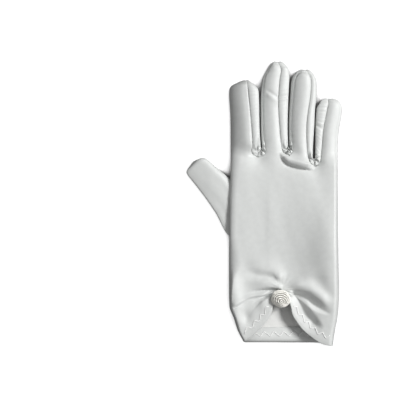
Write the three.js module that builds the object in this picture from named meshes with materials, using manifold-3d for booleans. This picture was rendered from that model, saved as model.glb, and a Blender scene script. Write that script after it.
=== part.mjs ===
// A short satin wedding glove for the right hand, lying palm down with its fingers along +Y.
// The trank is one piece of cloth: it goes from the side seam over the back of the hand, round the fold
// along the forefinger and back under the palm. Three fourchettes are sewn between its finger slits,
// the thumb is a tube sewn round a hole in the fold, and the back hem is gathered up under a beaded rose.
// Millimetres, +Z up, origin on the surface it lies on, under the middle of the glove.
import * as THREE from "three";
import Module from "manifold-3d";

const wasm = await Module();
wasm.setup();

// Cloth and seams
const WALL = 1.0; // one layer of satin
const HEM_WALL = 1.7; // the hem is turned up and stitched, so it is two layers
const SEAM_GAP = 0.34; // between two sewn edges
const CLEARANCE = 0.3; // between the cloth and the rose or thumb that sits on it
const SHOULDER = 2.3; // how much longer than high the rounding along an edge is
const HAIR = 0.1; // a place this near an edge counts as on it

// The hand of the glove, a row for each section: its edges, the height of its edges and of its crown.
const HAND = [
  { y: -115, left: -16.0, right: 55.7, edge: 3.4, crown: 9.6 },
  { y: -111.7, left: -17.0, right: 56.0, edge: 3.5, crown: 9.9 },
  { y: -103, left: -21.3, right: 57.3, edge: 3.8, crown: 10.6 },
  { y: -93, left: -25.2, right: 59.2, edge: 4.0, crown: 11.4 },
  { y: -83, left: -28.8, right: 60.2, edge: 4.2, crown: 11.9 },
  { y: -70, left: -29.1, right: 60.7, edge: 4.4, crown: 11.4 },
  { y: -45, left: -28.9, right: 60.0, edge: 4.6, crown: 9.8 },
  { y: -26, left: -28.3, right: 59.7, edge: 6.6, crown: 9.8 },
  { y: 0, left: -27.5, right: 59.6, edge: 7.0, crown: 10.0 },
  { y: 18, left: -27.3, right: 59.5, edge: 6.6, crown: 10.0 },
  { y: 40, left: -27.2, right: 59.4, edge: 4.4, crown: 9.6 },
];
const RIGHT_EDGE = 4.4; // the seamed edge keeps this height all along
const WAIST_Y = -45; // above this section no row of the cloth follows the gathered hem

// The back hem from the fold to the side seam: two swags that hang from the rose.
const BACK_HEM = [
  { u: 0.0, x: -17.0, y: -111.7 },
  { u: 0.07, x: -11.4, y: -107.7 },
  { u: 0.14, x: -5.7, y: -102.8 },
  { u: 0.21, x: -0.4, y: -97.4 },
  { u: 0.27, x: 3.5, y: -92.6 },
  { u: 0.33, x: 6.0, y: -87.0 },
  { u: 0.4, x: 7.6, y: -80.6 },
  { u: 0.46, x: 10.5, y: -77.2 },
  { u: 0.5, x: 13.8, y: -76.6 },
  { u: 0.54, x: 17.2, y: -77.2 },
  { u: 0.6, x: 21.0, y: -81.5 },
  { u: 0.66, x: 23.2, y: -88.2 },
  { u: 0.73, x: 27.0, y: -94.6 },
  { u: 0.8, x: 32.5, y: -101.2 },
  { u: 0.87, x: 39.6, y: -108.0 },
  { u: 0.94, x: 47.5, y: -113.2 },
  { u: 1.0, x: 55.7, y: -115.0 },
];
const PALM_HEM = [
  { u: 0.0, y: -111.7 },
  { u: 0.7, y: -112.0 },
  { u: 0.85, y: -112.8 },
  { u: 1.0, y: -115.0 },
];

// Folds of the back, each along a curve through three points: width across, height up or down.
const FOLDS = [
  { x0: 21, y0: -70.5, x1: 37, y1: -75.0, x2: 57, y2: -89.0, width: 3.0, height: -2.5 },
  { x0: 20, y0: -72.0, x1: 37, y1: -85.0, x2: 55, y2: -105.0, width: 3.2, height: 2.4 },
  { x0: 23, y0: -76.0, x1: 33, y1: -89.0, x2: 49, y2: -102.0, width: 3.4, height: -3.2 },
  { x0: 18, y0: -68.5, x1: 36, y1: -66.5, x2: 58, y2: -82.5, width: 4.2, height: 2.0 },
  { x0: 33, y0: -36.0, x1: 43, y1: -54.0, x2: 56, y2: -76.0, width: 8.0, height: -1.5 },
  { x0: -20, y0: -47.0, x1: -1, y1: -50.0, x2: 13, y2: -66.0, width: 4.5, height: 1.8 },
  { x0: -20, y0: -55.0, x1: -1, y1: -57.0, x2: 12, y2: -66.0, width: 3.4, height: -1.8 },
  { x0: -13, y0: -60.0, x1: 1, y1: -62.5, x2: 13, y2: -68.5, width: 3.0, height: 1.5 },
  { x0: -19, y0: -71.5, x1: -3, y1: -69.8, x2: 10, y2: -69.5, width: 2.8, height: -2.6 },
  { x0: -26, y0: -81.5, x1: -8, y1: -74.0, x2: 9, y2: -70.8, width: 3.0, height: 1.8 },
  { x0: -15, y0: -95.0, x1: -4, y1: -83.0, x2: 8, y2: -72.0, width: 3.6, height: -3.0 },
  { x0: -19, y0: -103.0, x1: -4, y1: -92.0, x2: 5, y2: -79.0, width: 3.6, height: 1.5 },
  { x0: 17, y0: -58.0, x1: 17, y1: -20.0, x2: 18, y2: 20.0, width: 17.0, height: -0.9 },
  { x0: 14, y0: 37.5, x1: 25, y1: 31.5, x2: 40, y2: 29.5, width: 3.0, height: -2.0 },
];

// The fingers from the forefinger to the little finger, a row for each section up from the crotch:
// the two outer edges, the seams of the back panel where a fourchette is sewn on, and the height.
const FINGERS = [
  {
    name: "index",
    columns: 7,
    tip: 100.3,
    outline: [
      { y: 37.4, left: -27.2, right: -2.0, seamLeft: -27.2, seamRight: -5.0, height: 9.4 },
      { y: 39.5, left: -27.2, right: -2.1, seamLeft: -27.2, seamRight: -9.2, height: 9.4 },
      { y: 42.5, left: -27.2, right: -2.2, seamLeft: -27.2, seamRight: -10.4, height: 9.3 },
      { y: 47, left: -27.2, right: -2.4, seamLeft: -27.2, seamRight: -9.5, height: 9.2 },
      { y: 60, left: -27.2, right: -2.7, seamLeft: -27.2, seamRight: -10.2, height: 9.0 },
      { y: 75, left: -27.6, right: -3.1, seamLeft: -27.6, seamRight: -11.6, height: 8.8 },
      { y: 88, left: -28.4, right: -3.3, seamLeft: -28.4, seamRight: -13.0, height: 8.4 },
      { y: 92, left: -28.3, right: -4.0, seamLeft: -28.3, seamRight: -13.3, height: 8.2 },
      { y: 95, left: -26.8, right: -6.0, seamLeft: -26.8, seamRight: -13.5, height: 8.0 },
      { y: 98, left: -24.0, right: -8.6, seamLeft: -24.0, seamRight: -13.9, height: 7.8 },
      { y: 100.3, left: -19.6, right: -11.2, seamLeft: -19.6, seamRight: -14.4, height: 7.6 },
    ],
  },
  {
    name: "middle",
    columns: 5,
    tip: 115.3,
    outline: [
      { y: 37.4, left: -1.0, right: 19.2, seamLeft: -5.0, seamRight: 19.0, height: 9.4 },
      { y: 38.6, left: -1.2, right: 19.2, seamLeft: -1.5, seamRight: 20.2, height: 9.4 },
      { y: 41.5, left: -1.4, right: 19.3, seamLeft: 0.6, seamRight: 15.6, height: 9.4 },
      { y: 46, left: -1.5, right: 19.4, seamLeft: 1.0, seamRight: 14.5, height: 9.4 },
      { y: 60, left: -1.8, right: 19.3, seamLeft: -0.1, seamRight: 12.8, height: 9.2 },
      { y: 82, left: -2.0, right: 20.2, seamLeft: -0.3, seamRight: 11.4, height: 9.0 },
      { y: 95, left: -1.4, right: 20.8, seamLeft: 0.3, seamRight: 12.4, height: 8.8 },
      { y: 102, left: -0.6, right: 21.3, seamLeft: 1.2, seamRight: 12.9, height: 8.6 },
      { y: 107, left: 1.6, right: 20.8, seamLeft: 3.4, seamRight: 13.6, height: 8.4 },
      { y: 111, left: 3.5, right: 18.7, seamLeft: 5.2, seamRight: 14.0, height: 8.0 },
      { y: 113.7, left: 5.4, right: 16.6, seamLeft: 7.4, seamRight: 13.6, height: 7.8 },
      { y: 115.3, left: 7.2, right: 14.8, seamLeft: 9.6, seamRight: 12.4, height: 7.6 },
    ],
  },
  {
    name: "ring",
    columns: 5,
    tip: 108.6,
    outline: [
      { y: 29.8, left: 21.6, right: 38.4, seamLeft: 22.5, seamRight: 40.9, height: 9.6 },
      { y: 33, left: 21.4, right: 38.0, seamLeft: 22.5, seamRight: 37.2, height: 9.6 },
      { y: 38.6, left: 21.2, right: 37.8, seamLeft: 20.2, seamRight: 35.6, height: 9.6 },
      { y: 41.5, left: 21.1, right: 37.8, seamLeft: 23.4, seamRight: 35.0, height: 9.6 },
      { y: 47, left: 20.9, right: 38.4, seamLeft: 23.8, seamRight: 34.6, height: 9.5 },
      { y: 55, left: 20.7, right: 39.8, seamLeft: 24.1, seamRight: 34.1, height: 9.4 },
      { y: 65, left: 20.8, right: 40.6, seamLeft: 24.4, seamRight: 34.3, height: 9.3 },
      { y: 75, left: 21.2, right: 41.0, seamLeft: 24.7, seamRight: 35.7, height: 9.2 },
      { y: 88, left: 22.1, right: 42.4, seamLeft: 25.1, seamRight: 37.8, height: 9.0 },
      { y: 97, left: 22.6, right: 42.5, seamLeft: 25.6, seamRight: 38.4, height: 8.8 },
      { y: 102, left: 23.5, right: 41.5, seamLeft: 26.2, seamRight: 37.8, height: 8.4 },
      { y: 105.5, left: 25.5, right: 39.5, seamLeft: 27.6, seamRight: 36.0, height: 8.0 },
      { y: 107.5, left: 27.0, right: 37.8, seamLeft: 29.2, seamRight: 34.8, height: 7.8 },
      { y: 108.6, left: 28.4, right: 36.0, seamLeft: 30.8, seamRight: 33.6, height: 7.6 },
    ],
  },
  {
    name: "little",
    columns: 7,
    tip: 85.1,
    outline: [
      { y: 29.8, left: 42.0, right: 59.4, seamLeft: 40.9, seamRight: 59.4, height: 9.2 },
      { y: 33, left: 42.0, right: 59.4, seamLeft: 44.6, seamRight: 59.4, height: 9.2 },
      { y: 38, left: 42.0, right: 59.4, seamLeft: 45.1, seamRight: 59.4, height: 9.2 },
      { y: 48, left: 41.8, right: 59.6, seamLeft: 46.1, seamRight: 59.6, height: 9.0 },
      { y: 58, left: 41.6, right: 60.3, seamLeft: 46.9, seamRight: 60.3, height: 8.8 },
      { y: 70, left: 41.9, right: 62.4, seamLeft: 49.2, seamRight: 62.4, height: 8.6 },
      { y: 77, left: 43.0, right: 63.1, seamLeft: 50.7, seamRight: 63.1, height: 8.4 },
      { y: 81, left: 44.6, right: 62.0, seamLeft: 51.6, seamRight: 62.0, height: 8.0 },
      { y: 83.5, left: 46.4, right: 60.0, seamLeft: 51.6, seamRight: 60.0, height: 7.6 },
      { y: 85.1, left: 48.2, right: 57.2, seamLeft: 51.4, seamRight: 57.2, height: 7.4 },
    ],
  },
];
const FINGER_EDGE = 0.42; // height of a finger's widest line, as a share of its height
const NOSE = 6.5; // length over which a fingertip closes

// Where two fingers part: the bottom of the slit in the back panel, in the gap, and in the palm panel.
const CROTCHES = [
  { x: -5.0, y: 37.4, webX: -1.9, webY: 44.0, palmY: 39.5 },
  { x: 20.2, y: 38.6, webX: 20.1, webY: 45.0, palmY: 40.5 },
  { x: 40.9, y: 29.8, webX: 40.2, webY: 36.5, palmY: 32.0 },
];
const CROTCH_DIP = 2.2; // how far the back sinks towards a crotch
const PALM_DIP = 0.8;
const DIP_REACH = 7.5;
const BLEND = 13; // length over which a finger's section runs into the hand's
const PALM_SEAM = 3.2; // how far in from the edge the palm seams run
const SEAM_SPREAD = 5.5; // length over which two palm seams part above a crotch

// The thumb, a row for each section from inside the hand to the tip: its two edges, its underside and height.
const THUMB = [
  { upperX: -15.5, upperY: 14.5, lowerX: -15.5, lowerY: -26.0, lift: 1.0, height: 7.2 },
  { upperX: -26.8, upperY: 19.6, lowerX: -28.3, lowerY: -25.2, lift: 0.3, height: 7.0 },
  { upperX: -34.1, upperY: 25.3, lowerX: -39.0, lowerY: -7.9, lift: 0.0, height: 7.4 },
  { upperX: -40.6, upperY: 30.5, lowerX: -48.8, lowerY: 6.3, lift: 0.0, height: 7.6 },
  { upperX: -44.6, upperY: 34.3, lowerX: -57.4, lowerY: 17.4, lift: 0.0, height: 7.4 },
  { upperX: -47.3, upperY: 36.4, lowerX: -62.4, lowerY: 23.9, lift: 0.0, height: 7.2 },
  { upperX: -49.8, upperY: 36.9, lowerX: -62.9, lowerY: 27.2, lift: 0.2, height: 6.4 },
  { upperX: -52.3, upperY: 36.5, lowerX: -61.2, lowerY: 29.9, lift: 0.9, height: 4.4 },
  { upperX: -54.6, upperY: 35.3, lowerX: -59.0, lowerY: 32.0, lift: 1.9, height: 2.2 },
];
const THUMB_EDGE = 0.46; // height of the thumb's widest line, as a share of its height
const THUMB_SQUARENESS = 0.8; // 1 is an ellipse, and less is squarer
const THUMB_START = 0.03; // how far along the rows above the tube starts
const THUMB_HOLLOW = 0.965; // and how far along its hollow ends

// The rose: a string of seed beads wound into a ball and sewn on to the gathers.
const ROSE = { x: 13.9, y: -77.4, radius: 7.5, rise: 6.9, waist: 3.4, turns: 5.5, ridge: 0.55 };
const ROSE_LEAN = { x: 0.24, y: 0.24 }; // the ball's top leans towards the palm and the side seam
const SEAT = { height: 11.6, flat: 4.875, end: 12.35 }; // the gathers that carry it: height and two radii

const mix = (a, b, t) => a + (b - a) * t;
const smooth = (low, high, v) => THREE.MathUtils.smoothstep(v, low, high);

// Reads one column of a table at a place, along a curve that never overshoots its rows.
function read(rows, column, at, by = "y") {
  const last = rows.length - 1;
  if (at <= rows[0][by]) return rows[0][column];
  if (at >= rows[last][by]) return rows[last][column];
  const i = rows.findIndex((row) => row[by] > at) - 1;
  const slope = (k) =>
    k < 0 || k >= last ? null : (rows[k + 1][column] - rows[k][column]) / (rows[k + 1][by] - rows[k][by]);
  const tangent = (before, after) => {
    if (before === null) return after;
    if (after === null) return before;
    return before * after <= 0 ? 0 : (2 * before * after) / (before + after);
  };
  const step = rows[i + 1][by] - rows[i][by];
  const t = (at - rows[i][by]) / step;
  const m0 = tangent(slope(i - 1), slope(i)) * step;
  const m1 = tangent(slope(i), slope(i + 1)) * step;
  const t2 = t * t;
  const t3 = t2 * t;
  return (
    (2 * t3 - 3 * t2 + 1) * rows[i][column] +
    (t3 - 2 * t2 + t) * m0 +
    (3 * t2 - 2 * t3) * rows[i + 1][column] +
    (t3 - t2) * m1
  );
}

// Height, from 0 at an edge to 1 past its shoulder, of a quarter ellipse that long.
function rounding(fromEdge, shoulder) {
  const t = THREE.MathUtils.clamp(1 - fromEdge / Math.max(shoulder, 1e-6), 0, 1);
  return Math.sqrt(1 - t * t);
}

const foldCurves = FOLDS.map((fold) => {
  const curve = new THREE.QuadraticBezierCurve(
    new THREE.Vector2(fold.x0, fold.y0),
    new THREE.Vector2(2 * fold.x1 - (fold.x0 + fold.x2) / 2, 2 * fold.y1 - (fold.y0 + fold.y2) / 2),
    new THREE.Vector2(fold.x2, fold.y2),
  );
  return { ...fold, points: curve.getPoints(24) };
});

// Sum of the folds at a place. A fold fades out towards both of its ends.
const FOLD_START = 0.06; // a little of a fold is left at its very ends
function foldHeight(x, y) {
  let sum = 0;
  for (const fold of foldCurves) {
    let nearest = Infinity;
    let along = 0;
    fold.points.forEach((p, i) => {
      const d = Math.hypot(x - p.x, y - p.y);
      if (d < nearest) {
        nearest = d;
        along = i / (fold.points.length - 1);
      }
    });
    const fade = Math.sqrt(Math.sin(Math.PI * mix(FOLD_START, 1 - FOLD_START, along)));
    sum += fold.height * fade * Math.exp(-((nearest / fold.width) ** 2));
  }
  return sum;
}

// The widest line of the hand: raised along the fold where the thumb lies under it.
function handEdge(x, y) {
  const left = read(HAND, "left", y);
  const right = read(HAND, "right", y);
  const across = smooth(0.1, 0.6, (x - left) / (right - left));
  return mix(read(HAND, "edge", y), Math.min(RIGHT_EDGE, read(HAND, "edge", y)), across);
}

function crotchDip(x, y, depth) {
  return CROTCHES.reduce(
    (sum, c) => sum + depth * Math.exp(-((x - c.x) ** 2 + (y - c.y) ** 2) / DIP_REACH ** 2),
    0,
  );
}

// How far a place lies in from the nearer edge of the hand.
function handInset(x, y) {
  const inset = Math.min(x - read(HAND, "left", y), read(HAND, "right", y) - x);
  return inset < HAIR ? 0 : inset;
}

function handTop(x, y) {
  const inset = handInset(x, y);
  const edge = handEdge(x, y);
  const fromRose = Math.hypot(x - ROSE.x, y - ROSE.y);
  const free = read(HAND, "crown", y) + foldHeight(x, y) - crotchDip(x, y, CROTCH_DIP);
  const crown = mix(SEAT.height, free, smooth(SEAT.flat, SEAT.end, fromRose));
  const rise = read(HAND, "crown", y) - edge;
  return edge + (crown - edge) * rounding(inset, SHOULDER * rise);
}

function handBottom(x, y) {
  const inset = handInset(x, y);
  const edge = handEdge(x, y);
  return edge - (edge - crotchDip(x, y, PALM_DIP)) * rounding(inset, SHOULDER * edge);
}

// A finger's cross-section at a station: its edges, widest line, height and how far its tip has closed.
function section(finger, y) {
  const left = read(finger.outline, "left", y);
  const right = read(finger.outline, "right", y);
  const height = read(finger.outline, "height", y);
  return { left, right, edge: FINGER_EDGE * height, height, open: rounding(finger.tip - y, NOSE) };
}

function fingerTop(finger, x, y) {
  const s = section(finger, y);
  const rise = (s.height - s.edge) * s.open;
  const inset = Math.min(x - s.left, s.right - x);
  return s.edge + rise * rounding(inset, Math.min((s.right - s.left) / 2, SHOULDER * rise));
}

function fingerBottom(finger, x, y) {
  const s = section(finger, y);
  const drop = s.edge * s.open;
  const inset = Math.min(x - s.left, s.right - x);
  return s.edge - drop * rounding(inset, Math.min((s.right - s.left) / 2, SHOULDER * drop));
}

// Where a finger's section has run into the hand's: 1 at its base, 0 from BLEND above it.
const intoHand = (y, base) => 1 - smooth(base, base + BLEND, y);

function backPoint(finger, x, y, base) {
  const z = mix(fingerTop(finger, x, y), handTop(x, y), intoHand(y, base));
  return new THREE.Vector3(x, y, z);
}

function palmPoint(finger, x, y, base) {
  const z = mix(fingerBottom(finger, x, y), handBottom(x, y), intoHand(y, base));
  return new THREE.Vector3(x, y, z);
}

// Rows of cloth up a finger: close together at its base and round its tip.
const BASE_STEPS = [0, 1.6, 4.2, 8.5];
const TIP_STEPS = [9.5, 5.6, 3.1, 1.3, 0.35, 0];
const SHAFT_ROWS = 3;
function fingerRows(base, tip) {
  const low = base + BASE_STEPS.at(-1);
  const high = tip - TIP_STEPS[0];
  const shaft = Array.from({ length: SHAFT_ROWS }, (_, i) => mix(low, high, (i + 1) / (SHAFT_ROWS + 1)));
  return [...BASE_STEPS.map((d) => base + d), ...shaft, ...TIP_STEPS.map((d) => tip - d)];
}

// The two corners where a finger starts. The hand's outer edges, where back and palm meet, start level
// with the nearest crotch of the back.
function baseOf(index) {
  const before = CROTCHES[index - 1];
  const after = CROTCHES[index];
  const y = { left: (before ?? after).y, right: (after ?? before).y };
  const palm = { left: before ? before.palmY : after.y, right: after ? after.palmY : before.y };
  return { y, palm, before, after };
}

// Columns are packed towards a rounded outer edge, and even between two seams.
function spread(index, t) {
  if (index === 0) return 1 - Math.cos((t * Math.PI) / 2);
  if (index === FINGERS.length - 1) return Math.sin((t * Math.PI) / 2);
  return t;
}

// The edges of a finger's palm panel: its seams run near the finger's edges, and meet the back's at the tip.
function palmSeam(index, side, y, base) {
  const finger = FINGERS[index];
  const outer = read(finger.outline, side, y);
  const back = read(finger.outline, side === "left" ? "seamLeft" : "seamRight", y);
  if ((index === 0 && side === "left") || (index === FINGERS.length - 1 && side === "right")) return outer;
  const inward = side === "left" ? 1 : -1;
  const along = mix(outer + inward * PALM_SEAM, back, smooth(finger.tip - 3 * NOSE, finger.tip - NOSE, y));
  const crotch = side === "left" ? CROTCHES[index - 1] : CROTCHES[index];
  return mix(crotch.x, along, smooth(base - 0.01, base + SEAM_SPREAD, y));
}

// One row of a finger strip, on the back or the palm.
function stripRow(index, row, palm) {
  const finger = FINGERS[index];
  const base = baseOf(index);
  const start = palm ? base.palm : base.y;
  const yLeft = fingerRows(start.left, finger.tip)[row];
  const yRight = fingerRows(start.right, finger.tip)[row];
  const xLeft = palm ? palmSeam(index, "left", yLeft, start.left) : read(finger.outline, "seamLeft", yLeft);
  const xRight = palm
    ? palmSeam(index, "right", yRight, start.right)
    : read(finger.outline, "seamRight", yRight);
  return Array.from({ length: finger.columns + 1 }, (_, i) => {
    const t = mix(i / finger.columns, spread(index, i / finger.columns), section(finger, yLeft).open);
    const y = mix(yLeft, yRight, t);
    const point = palm ? palmPoint : backPoint;
    return point(finger, mix(xLeft, xRight, t), y, mix(start.left, start.right, t));
  });
}

// The hand's top row is the base row of all fingers, side by side.
function crotchRow(palm) {
  return FINGERS.flatMap((finger, i) => stripRow(i, 0, palm).slice(i === 0 ? 0 : 1));
}

// Rows of the hand from the hem up to the fingers, on the back or the palm.
const COLUMNS = FINGERS.reduce((sum, finger) => sum + finger.columns, 0);
const CUFF_ROWS = 15;
const HAND_ROWS = 7;
const EDGE_CROWDING = 0.75; // how much closer together the columns are near the edges
const CROTCH_CROWDING = 1.6; // and the rows near the crotches
function handRow(row, palm, top) {
  return Array.from({ length: COLUMNS + 1 }, (_, i) => {
    const u = i / COLUMNS;
    const hemX = palm ? null : read(BACK_HEM, "x", u, "u");
    const hemY = palm ? read(PALM_HEM, "y", u, "u") : read(BACK_HEM, "y", u, "u");
    const share = (x, y) => {
      const left = read(HAND, "left", y);
      return (x - left) / (read(HAND, "right", y) - left);
    };
    const even = mix(u, (1 - Math.cos(Math.PI * u)) / 2, EDGE_CROWDING);
    const cuff = Math.min(row / CUFF_ROWS, 1);
    const hand = 1 - (1 - Math.max(0, row - CUFF_ROWS) / HAND_ROWS) ** CROTCH_CROWDING;
    const y = row <= CUFF_ROWS ? mix(hemY, WAIST_Y, cuff) : mix(WAIST_Y, top[i].y, hand);
    const low = palm ? even : mix(share(hemX, hemY), even, cuff);
    const across = row <= CUFF_ROWS ? low : mix(even, share(top[i].x, top[i].y), hand);
    const x = mix(read(HAND, "left", y), read(HAND, "right", y), across);
    return new THREE.Vector3(x, y, palm ? handBottom(x, y) : handTop(x, y));
  });
}

// A fourchette between two fingers: a row for each row of the fingers, down one side and up the other,
// each an arc from the back seam round the finger's edge to the palm seam.
const HALF_FOURCHETTE = 3;
function fourchetteArc(index, side, row) {
  const finger = FINGERS[index];
  const crotch = side === "right" ? CROTCHES[index] : CROTCHES[index - 1];
  const y = fingerRows(crotch.y, finger.tip)[row];
  const yEdge = fingerRows(crotch.webY, finger.tip)[row];
  const yPalm = fingerRows(crotch.palmY, finger.tip)[row];
  const s = section(finger, yEdge);
  const seam = read(finger.outline, side === "right" ? "seamRight" : "seamLeft", y);
  const top = backPoint(finger, seam, y, crotch.y);
  const bottom = palmPoint(finger, palmSeam(index, side, yPalm, crotch.palmY), yPalm, crotch.palmY);
  const edge = new THREE.Vector3(row === 0 ? crotch.webX : s[side], yEdge, s.edge);
  const half = (s.right - s.left) / 2;
  const quarter = (end, rise, t) => {
    const run = Math.hypot(end.x - edge.x, end.y - edge.y);
    const limit = Math.min(half, SHOULDER * Math.max(rise, 0.01));
    const whole = Math.acos(THREE.MathUtils.clamp(1 - run / limit, 0, 1));
    if (whole < 1e-4) return new THREE.Vector3().lerpVectors(edge, end, t);
    const angle = whole * t;
    const flat = (1 - Math.cos(angle)) / (1 - Math.cos(whole));
    const up = Math.sin(angle) / Math.sin(whole);
    return new THREE.Vector3(mix(edge.x, end.x, flat), mix(edge.y, end.y, flat), mix(edge.z, end.z, up));
  };
  const steps = Array.from({ length: HALF_FOURCHETTE + 1 }, (_, i) => i / HALF_FOURCHETTE);
  const upper = steps.map((t) => quarter(top, (s.height - s.edge) * s.open, 1 - t));
  const lower = steps.slice(1).map((t) => quarter(bottom, s.edge * s.open, t));
  return [...upper, ...lower];
}

function fourchetteRows(index) {
  const count = fingerRows(0, 100).length;
  const down = Array.from({ length: count }, (_, i) => fourchetteArc(index, "right", count - 1 - i));
  const up = Array.from({ length: count - 1 }, (_, i) => fourchetteArc(index + 1, "left", i + 1));
  return [...down, ...up];
}

// A sheet is a list of patches, each rows of points. Points with one name are one vertex of the sheet.
const placeOf = (p) => `${p.x.toFixed(3)},${p.y.toFixed(3)},${p.z.toFixed(3)}`;

function patchFaces(rows, flip, emit) {
  for (let r = 0; r + 1 < rows.length; r += 1) {
    for (let c = 0; c + 1 < rows[r].length; c += 1) {
      const [a, b, d, e] = [[r, c], [r, c + 1], [r + 1, c + 1], [r + 1, c]];
      const length = (m, n) => rows[m[0]][m[1]].distanceTo(rows[n[0]][n[1]]);
      const faces = length(a, d) <= length(b, e) ? [[a, b, d], [a, d, e]] : [[a, b, e], [b, d, e]];
      for (const face of faces) {
        const places = new Set(face.map(([i, j]) => placeOf(rows[i][j])));
        if (places.size === 3) emit(flip ? [...face].reverse() : face);
      }
    }
  }
}

// Normals of the whole glove, summed over every patch that meets at a place, so that sewn edges are mitred.
function normalsOf(sheets) {
  const normals = new Map();
  for (const patch of sheets.flat()) {
    patchFaces(patch.rows, patch.flip, (face) => {
      const [a, b, c] = face.map(([i, j]) => patch.rows[i][j]);
      const areas = new THREE.Vector3().crossVectors(b.clone().sub(a), c.clone().sub(a));
      for (const p of [a, b, c]) {
        const key = placeOf(p);
        if (!normals.has(key)) normals.set(key, new THREE.Vector3());
        const sum = normals.get(key);
        const [u, v] = [a, b, c].filter((q) => q !== p).map((q) => q.clone().sub(p));
        sum.addScaledVector(areas.clone().normalize(), u.angleTo(v));
      }
    });
  }
  normals.forEach((n) => n.normalize());
  return normals;
}

// Gives a sheet its thickness inwards, and draws its sewn edges back by half a seam gap.
function thicken(sheet, normals) {
  const names = new Map();
  const points = [];
  const faces = [];
  for (const patch of sheet) {
    patchFaces(patch.rows, patch.flip, (face) => {
      faces.push(
        face.map(([i, j]) => {
          const p = patch.rows[i][j];
          const name = placeOf(p) + patch.tag(i, j);
          if (!names.has(name)) {
            names.set(name, points.length);
            points.push({ p, wall: patch.wall(i, j), free: patch.free(i, j), inward: [] });
          }
          return names.get(name);
        }),
      );
    });
  }
  const edges = new Map();
  for (const face of faces) {
    face.forEach((k, i) => edges.set(`${k},${face[(i + 1) % 3]}`, [k, face[(i + 1) % 3]]));
  }
  const rim = [...edges.values()].filter(([a, b]) => !edges.has(`${b},${a}`));
  for (const [a, b] of rim) {
    const along = points[b].p.clone().sub(points[a].p);
    for (const k of [a, b]) {
      points[k].inward.push(normals.get(placeOf(points[k].p)).clone().cross(along).normalize());
    }
  }
  const outer = points.map(({ p, free, inward }) => {
    if (free || !inward.length) return p;
    const sum = inward.reduce((m, v) => m.add(v), new THREE.Vector3()).normalize();
    return p.clone().addScaledVector(sum, SEAM_GAP / 2 / Math.max(0.6, sum.dot(inward[0])));
  });
  const inner = outer.map((place, k) => {
    const { p, wall } = points[k];
    return place.clone().addScaledVector(normals.get(placeOf(p)), -wall);
  });
  const count = points.length;
  const triangles = [
    ...faces,
    ...faces.map(([a, b, c]) => [c + count, b + count, a + count]),
    ...rim.flatMap(([a, b]) => [
      [b, a, a + count],
      [b, a + count, b + count],
    ]),
  ];
  return solid([...outer, ...inner], triangles);
}

function solid(points, triangles) {
  const vertProperties = new Float32Array(points.flatMap((p) => p.toArray()));
  const triVerts = new Uint32Array(triangles.flat());
  return new wasm.Manifold(new wasm.Mesh({ numProp: 3, vertProperties, triVerts }));
}

function mesh(name, body, material) {
  const { vertProperties, triVerts } = body.getMesh();
  const geometry = new THREE.BufferGeometry();
  geometry.setAttribute("position", new THREE.BufferAttribute(vertProperties, 3));
  geometry.setIndex(new THREE.BufferAttribute(triVerts, 1));
  geometry.computeVertexNormals();
  const made = new THREE.Mesh(geometry, material);
  made.name = name;
  return made;
}

// A closed solid through rings of points, all with the same number, from the first to the last.
function loft(rings) {
  const count = rings[0].length;
  const points = rings.flat();
  const triangles = [];
  for (let r = 0; r + 1 < rings.length; r += 1) {
    for (let c = 0; c < count; c += 1) {
      const [a, b] = [r * count + c, r * count + ((c + 1) % count)];
      triangles.push([a, b, b + count], [a, b + count, a + count]);
    }
  }
  for (const [ring, flip] of [[0, true], [rings.length - 1, false]]) {
    const middle = rings[ring].reduce((m, p) => m.addScaledVector(p, 1 / count), new THREE.Vector3());
    const hub = points.push(middle) - 1;
    for (let c = 0; c < count; c += 1) {
      const [a, b] = [ring * count + c, ring * count + ((c + 1) % count)];
      triangles.push(flip ? [hub, b, a] : [hub, a, b]);
    }
  }
  const made = solid(points, triangles);
  return made.volume() < 0 ? solid(points, triangles.map(([a, b, c]) => [c, b, a])) : made;
}

// The trank: back and palm joined along the fold, with a slit between every two fingers.
const HEM_ROWS = { back: 5, palm: 4 };
function trankSheet() {
  const patches = [];
  for (const palm of [false, true]) {
    const top = crotchRow(palm);
    const side = palm ? "palm" : "back";
    const rows = Array.from({ length: CUFF_ROWS + HAND_ROWS }, (_, r) => handRow(r, palm, top));
    rows.push(top);
    const tag = (i, j) => (j === 0 ? "fold" : side);
    const wall = (i) => (i < HEM_ROWS[side] ? HEM_WALL : WALL);
    patches.push({ rows, flip: palm, tag, wall, free: (i, j) => i === 0 && j < COLUMNS });
    FINGERS.forEach((finger, index) => {
      const count = fingerRows(0, 100).length;
      patches.push({
        rows: Array.from({ length: count }, (_, r) => stripRow(index, r, palm)),
        flip: palm,
        tag: (i, j) => (index === 0 && j === 0 ? "fold" : side),
        wall: () => WALL,
        free: () => false,
      });
    });
  }
  return patches;
}

function fourchetteSheet(index) {
  return [{ rows: fourchetteRows(index), flip: true, tag: () => "", wall: () => WALL, free: () => false }];
}

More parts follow.
